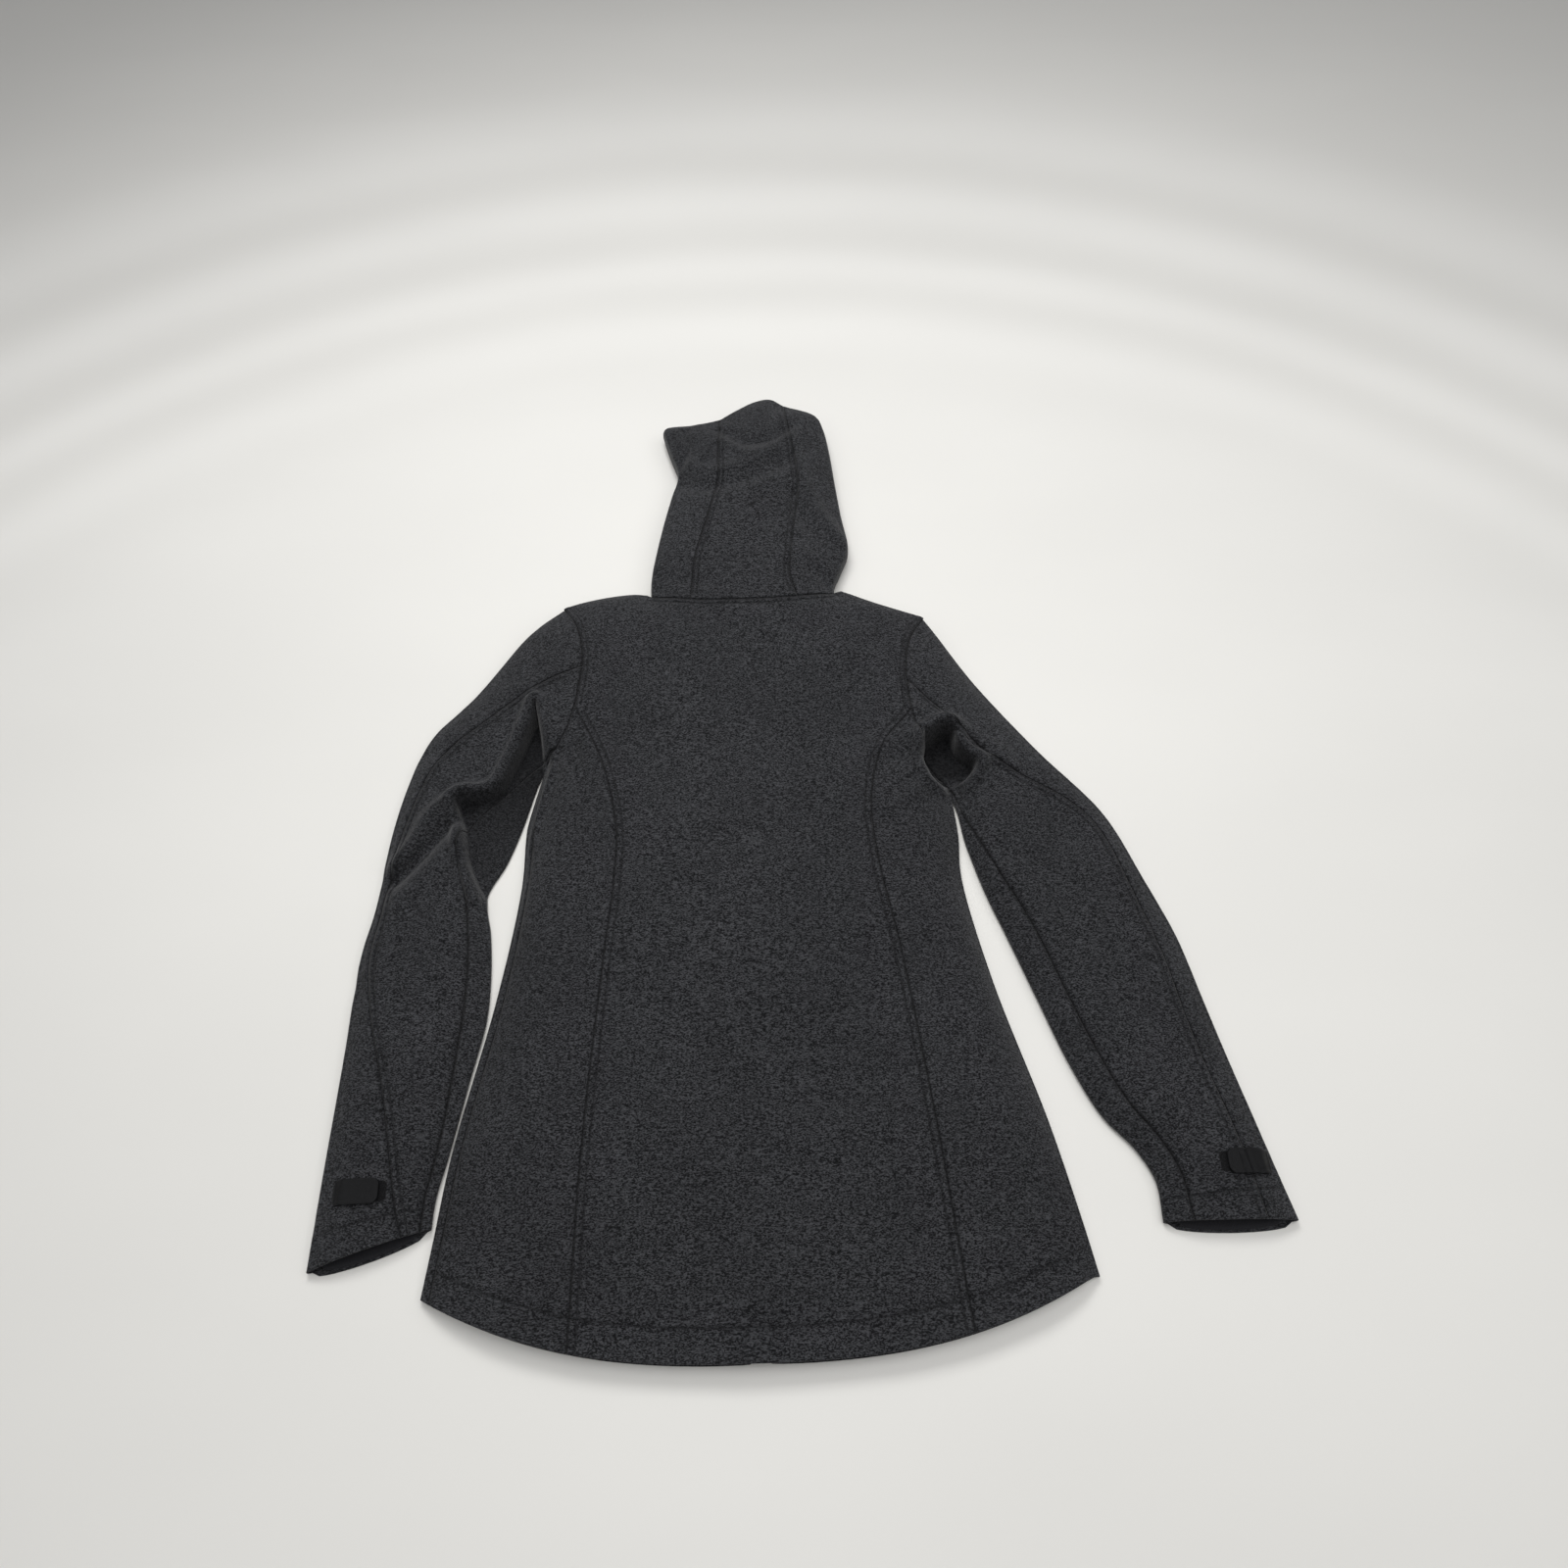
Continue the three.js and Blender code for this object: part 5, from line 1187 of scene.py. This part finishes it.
def sleeve_back(lay, lines):
    s = sleeve_stations(STEP)
    outer = lay.sleeve_plan(lines, s, np.zeros_like(s))
    inner = lay.sleeve_plan(lines, s, np.ones_like(s))
    width = np.linalg.norm(outer - inner, axis=1)
    edge = (lay.fold + lay.cloth / 2) / width * 1.5
    gap = SEAM_AIR / SLEEVE_WIDTH
    w0 = np.maximum(np.interp(s, lines["back_seam"][:, 0], lines["back_seam"][:, 1]), edge) + gap
    w1 = np.minimum(np.interp(s, lines["under_seam"][:, 0], lines["under_seam"][:, 1]), 1 - edge) - gap
    w = w0[:, None] + (w1 - w0)[:, None] * spaced((w1 - w0) * width, STEP)
    plan = lay.sleeve_plan(lines, np.broadcast_to(s[:, None], w.shape), w)
    return raised(plan, lay.upper(plan))


def cuff_facing(lay, lines):
    s = np.linspace(FACING_FROM, FACING_TO, 10)
    half = np.full_like(s, 0.5)
    inset = 2 * lay.fold + 1.5 * lay.cloth
    drop = (lay.cloth + lay.facing) / 2 + FACING_ROOM
    return sleeve_rings(lay, lines, s, half, half + 0.005, inset, drop, fine=False)[:, :-1]


def rounded_grid(low, high, corner, count):
    """A plan grid over a rectangle whose corners are rounded: the columns end on the outline, drawn in
    by the corner radius less the circle's height there."""
    wide, tall = high[0] - low[0], high[1] - low[1]
    v = np.linspace(0, 1, count[1])
    v = 0.5 - 0.5 * np.cos(math.pi * v)
    beyond = np.maximum(0, np.abs(v - 0.5) * tall - (tall / 2 - corner)) / corner
    pull_in = corner * (1 - np.sqrt(np.maximum(0, 1 - beyond**2))) / wide
    u = np.linspace(0, 1, count[0])
    u = 0.5 - 0.5 * np.cos(math.pi * u)
    u = pull_in[:, None] + (1 - 2 * pull_in)[:, None] * u
    x = low[0] + wide * u
    y = np.broadcast_to((low[1] + tall * v)[:, None], x.shape)
    return np.stack([x, y], axis=-1)


# ---------------------------------------------------------------- hood
def hood_side(lay, lines):
    """One side of the hood: from its seam over to the folded edge, round it, and back to the face edge."""
    sign = lines["sign"]
    v = spaced(HOOD_LENGTH, STEP, SEWN, BARE)[0]
    seam = at(lines["hood_seam"], v) + [sign * SEAM_AIR, 0]
    face = at(lines["face_edge"], v) + [sign * SEAM_AIR, 0]
    edge = at(lines["hood_side"], v)
    inset = lay.fold + lay.cloth / 2
    fold = edge + unit(seam - edge) * inset
    start = ((1 - v) ** 12)[:, None]
    for line in (seam, fold):
        line += start * np.stack([v * 0, neck_curve(line[0, 0]) + SEAM_AIR - line[0, 1] + v * 0], axis=1)
    share = spaced(np.linalg.norm(fold - seam, axis=1), STEP, SEWN, [0])
    plan = seam[:, None] + (fold - seam)[:, None] * share[..., None]
    over = raised(plan, lay.upper(plan))
    round_edge = turned(over[:, -1], lay.floor, unit(edge - seam), 9)
    back = np.concatenate([np.linspace(0, 0.9, 14), [0.95, 0.98, 1]])
    plan = fold[:, None] + (face - fold)[:, None] * back[:, None]
    under = raised(plan, np.full(plan.shape[:2], lay.floor))
    return np.concatenate([over, round_edge, under], axis=1)


def hood_center(lay):
    """The hood's middle panel: over the head to the crest, round it, and under to the brim."""
    left, right = (lay.sides[name] for name in SIDES)
    seams = [side["hood_seam"] - [side["sign"] * SEAM_AIR, 0] for side in (left, right)]
    inset = lay.fold + lay.cloth / 2
    crest = lay.crest - [0, inset]
    crest[0], crest[-1] = seams[0][-1] - [0, 0.1], seams[1][-1] - [0, 0.1]
    seams = [np.vstack([seam[:-1], crest[index]]) for seam, index in zip(seams, (0, -1))]
    x = np.linspace(seams[0][0, 0], seams[1][0, 0], 40)
    neck = np.stack([x, neck_curve(x) + SEAM_AIR], axis=1)
    for seam, end in zip(seams, (neck[0], neck[-1])):
        seam += ((1 - np.linspace(0, 1, len(seam))) ** 12)[:, None] * (end - seam[0])
    plan = quilt(neck, crest, *seams, STEP, ends=(SEWN, [0]))
    over = raised(plan, lay.upper(plan))
    upward = np.broadcast_to([0.0, 1.0], (plan.shape[1], 2))
    fold = turned(over[-1], lay.floor, upward, 9).transpose(1, 0, 2)
    faces = [side["face_edge"] - [side["sign"] * SEAM_AIR, 0] for side in (left, right)]
    share = np.linspace(1, 0.6, 26)
    along = np.concatenate([[0], np.cumsum(np.linalg.norm(np.diff(plan[-1], axis=0), axis=1))])
    u = along / along[-1]
    ends = at(faces[0], share), at(faces[1], share)
    flat = ends[0][:, None] + (ends[1] - ends[0])[:, None] * u[:, None]
    flat[..., 1] += 6 * np.sin(math.pi * u) * ((1 - share) / 0.4)[:, None]
    flat[0] = plan[-1]
    under = raised(flat, np.full(flat.shape[:2], lay.floor))
    return np.concatenate([over, fold, under], axis=0)


# ---------------------------------------------------------------- operators
def lay_now(context):
    """The lay for the present sizes, worked out once for each set of them."""
    sizes = context.scene.jacket_sizes
    key = tuple(getattr(sizes, name) for name in JacketSizes.__annotations__)
    if LAY.get("key") != key:
        lay = Lay(sizes)
        lay.stitch = sizes.stitch / MM
        lay.thread = sizes.thread / MM
        LAY.update(key=key, now=lay)
    return LAY["now"]


FINISHES = {
    "softshell": softshell_finish,
    "thread": thread_finish,
    "floor": floor_finish,
    "lining": lambda c: woven_finish("lining_tricot", c.lining, 260.0, "X"),
    "tape": lambda c: woven_finish("zip_tape", c.lining, 320.0, "Y", 0.6),
    "label": lambda c: woven_finish("label_satin", (0.06, 0.06, 0.063), 420.0, "X", 0.5),
    "pile": lambda c: pile_finish("hook_and_loop_pile", c.tab),
    "tab": lambda c: moulded_finish("moulded_tab", c.tab),
    "coil": lambda c: moulded_finish("nylon_coil", c.tab),
    "box": lambda c: moulded_finish("nylon_box", c.tab, on_cloth=False),
    "metal": lambda c: enamel_finish("enamelled_metal", c.metal),
}
MADE = {}


def finish(context, name):
    if name not in MADE:
        MADE[name] = FINISHES[name](context.scene.jacket_colours)
    return MADE[name]


# Height of the direction and brightness of the studio there. The bands are mirrored by the table.
SKY_BANDS = [
    (0.0, 0.1), (0.48, 0.1), (0.515, 0.7), (0.534, 0.05), (0.555, 1.1), (0.576, 0.05), (0.592, 1.1),
    (0.607, 0.15), (0.627, 1.1), (0.647, 0.5), (0.68, 0.7), (0.74, 0.42), (1.0, 0.36),
]
LAMP_SPREAD = math.radians(135)
LAMPS = (  # name, place, target, size and power
    ("key", (-0.3, 0.9, 1.5), (0.05, -0.25, 0), (0.9, 0.6), 9.5),
    ("fill", (1.7, -0.2, 1.9), (0, 0, 0), (1.6, 1.6), 5),
    ("overhead", (0.15, -0.25, 2.4), (0.05, -0.2, 0), (1.8, 1.2), 10.5),
)
TABLE_HALF = 6.0
LENS, SENSOR = 27.05, 36
ELEVATION, TURN, AWAY = math.radians(60), math.radians(1.95), 1.175
AIM_SHIFT = -0.0043, -0.0027  # from the middle of the CAD's box


class JACKET_OT_stage(bpy.types.Operator):
    """Lays a glossy pale table, and sets soft lights and the camera"""

    bl_idname = "jacket.stage"
    bl_label = "Table, lights and camera"

    def sky(self, tree):
        """A studio that is dim low down, with a few soft bands that the glossy table mirrors, and even
        and bright overhead: a ramp along the height of the direction."""
        sky = Nodes(tree)
        stops = [(place, (level * 0.98, level * 0.985, level)) for place, level in SKY_BANDS]
        where = sky.node("TexCoord", {}, {}, "Generated")
        height = sky.node("SeparateXYZ", {}, {0: where}, "Z")
        sky.set(sky.nodes["Background"], {"Color": sky.node("ValToRGB", {"stops": stops}, {0: height})})

    def execute(self, context):
        scene = context.scene
        mesh = bpy.data.meshes.new("table")
        corners = [(x * TABLE_HALF, y * TABLE_HALF, 0) for x, y in ((-1, -1), (1, -1), (1, 1), (-1, 1))]
        mesh.from_pydata(corners, [], [(0, 1, 2, 3)])
        mesh.materials.append(finish(context, "floor"))
        table = bpy.data.objects.new("table", mesh)
        scene.collection.objects.link(table)

        world = bpy.data.worlds.new("studio")
        world.use_nodes = True
        self.sky(world.node_tree)
        scene.world = world
        for name, place, target, size, power in LAMPS:
            lamp = bpy.data.lights.new(name, "AREA")
            lamp.shape = "RECTANGLE"
            lamp.size, lamp.size_y = size
            lamp.energy = power
            lamp.spread = LAMP_SPREAD
            light = bpy.data.objects.new(name, lamp)
            light.location = place
            light.visible_glossy = False
            heading = Vector(target) - Vector(place)
            light.rotation_euler = heading.to_track_quat("-Z", "Y").to_euler()
            scene.collection.objects.link(light)

        lens = bpy.data.cameras.new("camera")
        lens.lens = LENS
        lens.sensor_width = SENSOR
        camera = bpy.data.objects.new("camera", lens)
        level = math.cos(ELEVATION)
        forward = Vector((level * math.sin(TURN), level * math.cos(TURN), -math.sin(ELEVATION)))
        middle = (CAD_BOX[0] + CAD_BOX[1]) / 2
        aim = Vector((middle.x + AIM_SHIFT[0], middle.y + AIM_SHIFT[1], CAD_BOX[0].z))
        camera.location = aim - forward * AWAY
        camera.rotation_euler = forward.to_track_quat("-Z", "Y").to_euler()
        scene.collection.objects.link(camera)
        scene.camera = camera
        scene.view_settings.view_transform = "Standard"
        return {"FINISHED"}


class JACKET_OT_back(bpy.types.Operator):
    """Sews the back panel and the two back side panels"""

    bl_idname = "jacket.back"
    bl_label = "Back"

    def execute(self, context):
        lay = lay_now(context)
        face = finish(context, "softshell")
        sew("back_panel", back_panel(lay), lay.cloth, face, "jacket",
            shaded=True)
        for name, lines in lay.sides.items():
            sew(f"back_side_panel_{name}", side_panel(lay, lines), lay.cloth, face, "jacket",
                shaded=True)
        return {"FINISHED"}


class JACKET_OT_front(bpy.types.Operator):
    """Lays the front panels, the collar and their turned hems"""

    bl_idname = "jacket.front"
    bl_label = "Front and collar"

    def execute(self, context):
        lay = lay_now(context)
        face = finish(context, "softshell")
        lining = finish(context, "lining")
        for name, lines in lay.sides.items():
            panel, flank = fronts(lay, lines)
            sew(f"front_panel_{name}", panel, lay.cloth, face, "jacket")
            sew(f"front_side_panel_{name}", flank, lay.cloth, face, "jacket")
            sew(f"front_collar_{name}", collar(lay, lines), lay.cloth, face, "jacket")
            sign = lines["sign"]
            rise = (lay.cloth + lay.facing) / 2 + FACING_AIR
            plan = hem_band(sign * 20, sign * 245)
            sew(f"hem_facing_front_{name}", raised(plan, lay.curled(plan) + rise), lay.facing, lining,
                "jacket")
        return {"FINISHED"}


class JACKET_OT_inside(bpy.types.Operator):
    """Sews the facings, hanger loop, label, flap, chin guard and pocket bags inside the body"""

    bl_idname = "jacket.inside"
    bl_label = "Facings and pockets"

    def execute(self, context):
        lay = lay_now(context)
        lining = finish(context, "lining")
        drop = (lay.cloth + lay.facing) / 2 + FACING_AIR
        bands = {
            "hem_facing_back": hem_band(-233, 236),
            "neck_facing": band(-64, 64, lambda x: x * 0 - 32, lambda x: x * 0 - 7),
        }
        for name, plan in bands.items():
            cloth = raised(plan, lay.upper(plan) - drop)
            sew(name, cloth, lay.facing, lining, "jacket")
        self.level_pieces(context)
        self.hanger(context)
        return {"FINISHED"}

    def level_pieces(self, context):
        for node, name, slot in (
            ("care_label", "label", "label_cloth"),
            ("wind_flap", "softshell", "softshell"),
            ("chin_guard", "lining", "lining_cloth"),
            ("pocket_bag_left", "lining", "lining_cloth"),
            ("pocket_bag_right", "lining", "lining_cloth"),
        ):
            low, high = plan_box(node)
            corner = 16 if "bag" in node else 2
            plan = rounded_grid(low, high, corner, (26, 40))
            inner = np.minimum(np.abs(plan[..., 0] - low[0]), np.abs(plan[..., 0] - high[0])) / 14
            wave = ripple(plan, 23, 0.3, low=20, high=60)
            z = (low[2] + high[2]) / 2 + wave * (1.0 if "bag" in node else 0.15)
            z = z + (smooth(inner) * 1.6 if "bag" in node else 0)
            sew(node, raised(plan, z), high[2] - low[2], finish(context, name), "jacket")

    def hanger(self, context):
        """The hanger loop: a flat band carried round a closed path with round ends."""
        low, high = plan_box("hanger_loop")
        wide, tall, thick = (high - low) / 2
        middle = (low + high) / 2
        angle = np.linspace(0, 2 * math.pi, 97)[:-1]
        bend = tall - 2
        heading = np.sign(np.cos(angle)) * np.abs(np.cos(angle)) ** 0.35
        path = np.stack([middle[0] + heading * (wide - 2), middle[1] + np.sin(angle) * bend], axis=1)
        run = unit(np.roll(path, -1, 0) - np.roll(path, 1, 0))
        across = np.stack([run[:, 1], -run[:, 0]], axis=1)
        around = np.linspace(0, 2 * math.pi, 11)[:-1]
        flat = path[:, None] + across[:, None] * (np.cos(around) * 2.0)[:, None]
        z = middle[2] + np.broadcast_to(np.sin(around) * thick, flat.shape[:2])
        points = raised(flat, z)
        rows, columns = points.shape[:2]
        number = np.arange(rows * columns).reshape(rows, columns)
        below, side = np.roll(number, -1, 0), np.roll(number, -1, 1)
        corner = np.roll(below, -1, 1)
        faces = np.stack([number, side, corner, below], -1).reshape(-1, 4)
        piece = mesh_piece("hanger_band", points.reshape(-1, 3), faces)
        mount(piece, "jacket", ["hanger_loop"], finish(context, "tape"))


class JACKET_OT_zips(bpy.types.Operator):
    """Makes the zip tapes and coils, and finishes the metal and moulded zip parts"""

    bl_idname = "jacket.zips"
    bl_label = "Zips"

    def execute(self, context):
        pitch = context.scene.jacket_sizes.tooth / MM
        for name in SIDES:
            tape, thick = box_grid(f"front_zip_tape_{name}", 2.5)
            sew(f"front_zip_tape_{name}", tape, thick, finish(context, "tape"), "jacket")
            self.pocket_tape(context, name)
            for node, halves in ((f"front_zip_chain_{name}", 1), (f"pocket_zip_chain_{name}", 2)):
                points, faces = coils(node, pitch, halves)
                piece = mesh_piece(node.replace("chain", "coils"), points, faces)
                mount(piece, "jacket", [node], finish(context, "coil"))
        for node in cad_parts:
            if "slider" in node or "pull" in node or "top_stop" in node:
                self.coat(node, finish(context, "metal"))
            if node in ("front_zip_box", "front_zip_pin"):
                self.coat(node, finish(context, "box"))
        return {"FINISHED"}

    def pocket_tape(self, context, name):
        """A pocket zip's tape: two strips beside the coils."""
        node = f"pocket_zip_tape_{name}"
        whole, thick = box_grid(node, 2.5)
        low, high = whole[0, 0], whole[-1, -1]
        middle, slot = (low[0] + high[0]) / 2, 3.4
        parts = []
        for x0, x1 in ((low[0], middle - slot), (middle + slot, high[0])):
            xs, ys = np.linspace(x0, x1, 8), np.linspace(low[1], high[1], 70)
            plan = np.stack(np.meshgrid(xs, ys), axis=-1)
            parts.append(layers(raised(plan, np.full(plan.shape[:2], low[2])), thick))
        first = len(parts[0][0])
        points = np.vstack([part[0] for part in parts])
        faces = np.vstack([parts[0][1], parts[1][1] + first])
        piece = mesh_piece(f"cloth_{node}", points, faces)
        mount(piece, "jacket", [node], finish(context, "tape"))
        wide, tall = (high - low)[:2] * MM
        (wide - 2 * slot * MM) * tall

    def coat(self, node, material):
        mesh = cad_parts[node].data
        mesh.materials.clear()
        mesh.materials.append(material)


class JACKET_OT_sleeves(bpy.types.Operator):
    """Sews both sleeves with their cuff facings"""

    bl_idname = "jacket.sleeves"
    bl_label = "Sleeves"

    def execute(self, context):
        lay = lay_now(context)
        face = finish(context, "softshell")
        for name, lines in lay.sides.items():
            arm = f"sleeve_{name}"
            sew(f"sleeve_front_{name}", sleeve_front(lay, lines), lay.cloth, face, arm,
                shaded=True)
            sew(f"sleeve_back_{name}", sleeve_back(lay, lines), lay.cloth, face, arm,
                shaded=True)
            sew(f"cuff_facing_{name}", cuff_facing(lay, lines), lay.facing, finish(context, "lining"),
                arm, ring=True)
        return {"FINISHED"}


PILE = 0.9  # thickness of a hook or loop patch
LOOP_RISE, HOOK_RISE = 0.55, 1.7  # middle of each patch above the cloth
TAB_THICK, TAB_CORNER = 1.8, 5.5
TAB_RISE, TAB_STEP, TAB_LEAN = 0.9, 1.9, 9  # the tab lies on the cloth where it is sewn and steps up
RIB_FROM, RIB_TO, RIB_PITCH, RIB_HALF = 20, 34, 3.2, 0.6  # grip ribs, from the sewn end
RIB_EDGE = 4  # how far in from the tab's edges the ribs end
RIM_RISE, RIM_IN, RIM_HALF = 0.35, 1.6, 0.8


class JACKET_OT_tabs(bpy.types.Operator):
    """Moulds the cuff tabs and lays their hook and loop patches"""

    bl_idname = "jacket.tabs"
    bl_label = "Cuff tabs"

    def execute(self, context):
        lay = lay_now(context)
        for name, lines in lay.sides.items():
            self.patch(context, lay, name, "loop_patch", f"sleeve_{name}", LOOP_RISE)
            self.patch(context, lay, name, "hook_patch", f"cuff_tab_{name}", HOOK_RISE)
            self.tab(context, lay, name, lines["sign"])
        return {"FINISHED"}

    def patch(self, context, lay, name, kind, body, rise):
        low, high = plan_box(f"{kind}_{name}")
        plan = rounded_grid(low, high, 3, (18, 12))
        z = lay.upper(plan) + lay.cloth / 2 + rise
        sew(f"{kind}_{name}", raised(plan, z), PILE, finish(context, "pile"), body)

    def tab(self, context, lay, name, sign):
        """A moulded tab: a rounded plate, thicker in a rim along its edge, with grip ribs at an even pitch."""
        low, high = plan_box(f"cuff_tab_{name}")
        plan = rounded_grid(low, high, TAB_CORNER, (64, 32))
        sewn = low[0] if sign < 0 else high[0]
        along = np.abs(plan[..., 0] - sewn)
        inner = np.minimum(along, high[0] - low[0] - along)
        inner = np.minimum(inner, np.minimum(plan[..., 1] - low[1], high[1] - plan[..., 1]))
        ribbed = (along > RIB_FROM) & (along < RIB_TO) & (inner > RIB_EDGE)
        across = (along - RIB_FROM) % RIB_PITCH - RIB_PITCH / 2
        rib = RIM_RISE * np.exp(-(across / RIB_HALF) ** 2) * ribbed
        rim = RIM_RISE * np.exp(-(((inner - RIM_IN) / RIM_HALF) ** 2))
        z = lay.upper(plan) + lay.cloth / 2 + TAB_RISE + TAB_STEP * smooth(along / TAB_LEAN)
        middle = raised(plan, z)
        points, faces = layers(middle, TAB_THICK)
        count = middle.shape[0] * middle.shape[1]
        shift = (rib + rim).ravel()
        upper_half = points[:count, 2].mean() > points[count : 2 * count, 2].mean()
        first = 0 if upper_half else count
        points[first : first + count, 2] += shift
        piece = mesh_piece(f"moulded_cuff_tab_{name}", points, faces)
        mount(piece, f"cuff_tab_{name}", [f"cuff_tab_{name}"], finish(context, "tab"))


class JACKET_OT_hood(bpy.types.Operator):
    """Sews the hood's three panels and its brim facing"""

    bl_idname = "jacket.hood"
    bl_label = "Hood"

    def execute(self, context):
        lay = lay_now(context)
        face = finish(context, "softshell")
        sew("hood_center_panel", hood_center(lay), lay.cloth, face, "hood",
            shaded=True)
        for name, lines in lay.sides.items():
            sew(f"hood_side_{name}", hood_side(lay, lines), lay.cloth, face, "hood",
                shaded=True)
        low, high = plan_box("hood_brim_facing")
        plan = rounded_grid(low + [2, 5, 0], high - [2, 0, 0], 4, (20, 12))
        z = np.full(plan.shape[:2], lay.cloth + lay.facing / 2 + 0.5)
        sew("hood_brim_facing", raised(plan, z), lay.facing, finish(context, "lining"),
            "hood")
        return {"FINISHED"}


class JACKET_OT_stitching(bpy.types.Operator):
    """Lays every row of topstitching as separate stitches"""

    bl_idname = "jacket.stitching"
    bl_label = "Topstitching"

    def execute(self, context):
        lay = lay_now(context)
        for body in ("jacket", "hood", "sleeve_left", "sleeve_right"):
            points, faces = stitches(lay, body)
            piece = mesh_piece(f"stitching_{body}", points, faces)
            mount(piece, body, [], finish(context, "thread"))
        return {"FINISHED"}


class JACKET_PT_parts(bpy.types.Panel):
    """Lists the jacket's parts with their sizes and colours"""

    bl_idname = "JACKET_PT_parts"
    bl_label = "Softshell jacket"
    bl_space_type = "VIEW_3D"
    bl_region_type = "UI"
    bl_category = "Jacket"

    def draw(self, context):
        for operator in OPERATORS:
            self.layout.operator(operator.bl_idname)
        for group in (context.scene.jacket_sizes, context.scene.jacket_colours):
            box = self.layout.box()
            for name in type(group).__annotations__:
                box.prop(group, name)


OPERATORS = (
    JACKET_OT_stage, JACKET_OT_back, JACKET_OT_front, JACKET_OT_inside, JACKET_OT_zips, JACKET_OT_sleeves,
    JACKET_OT_tabs, JACKET_OT_hood, JACKET_OT_stitching,
)
CLASSES = (JacketSizes, JacketColours, *OPERATORS, JACKET_PT_parts)


def register():
    for kind in CLASSES:
        bpy.utils.register_class(kind)
    bpy.types.Scene.jacket_sizes = PointerProperty(type=JacketSizes)
    bpy.types.Scene.jacket_colours = PointerProperty(type=JacketColours)


def unregister():
    del bpy.types.Scene.jacket_sizes
    del bpy.types.Scene.jacket_colours
    for kind in reversed(CLASSES):
        bpy.utils.unregister_class(kind)


def main():
    register()
    for operator in OPERATORS:
        group, name = operator.bl_idname.split(".")
        getattr(getattr(bpy.ops, group), name)()


if __name__ == "__main__":
    main()
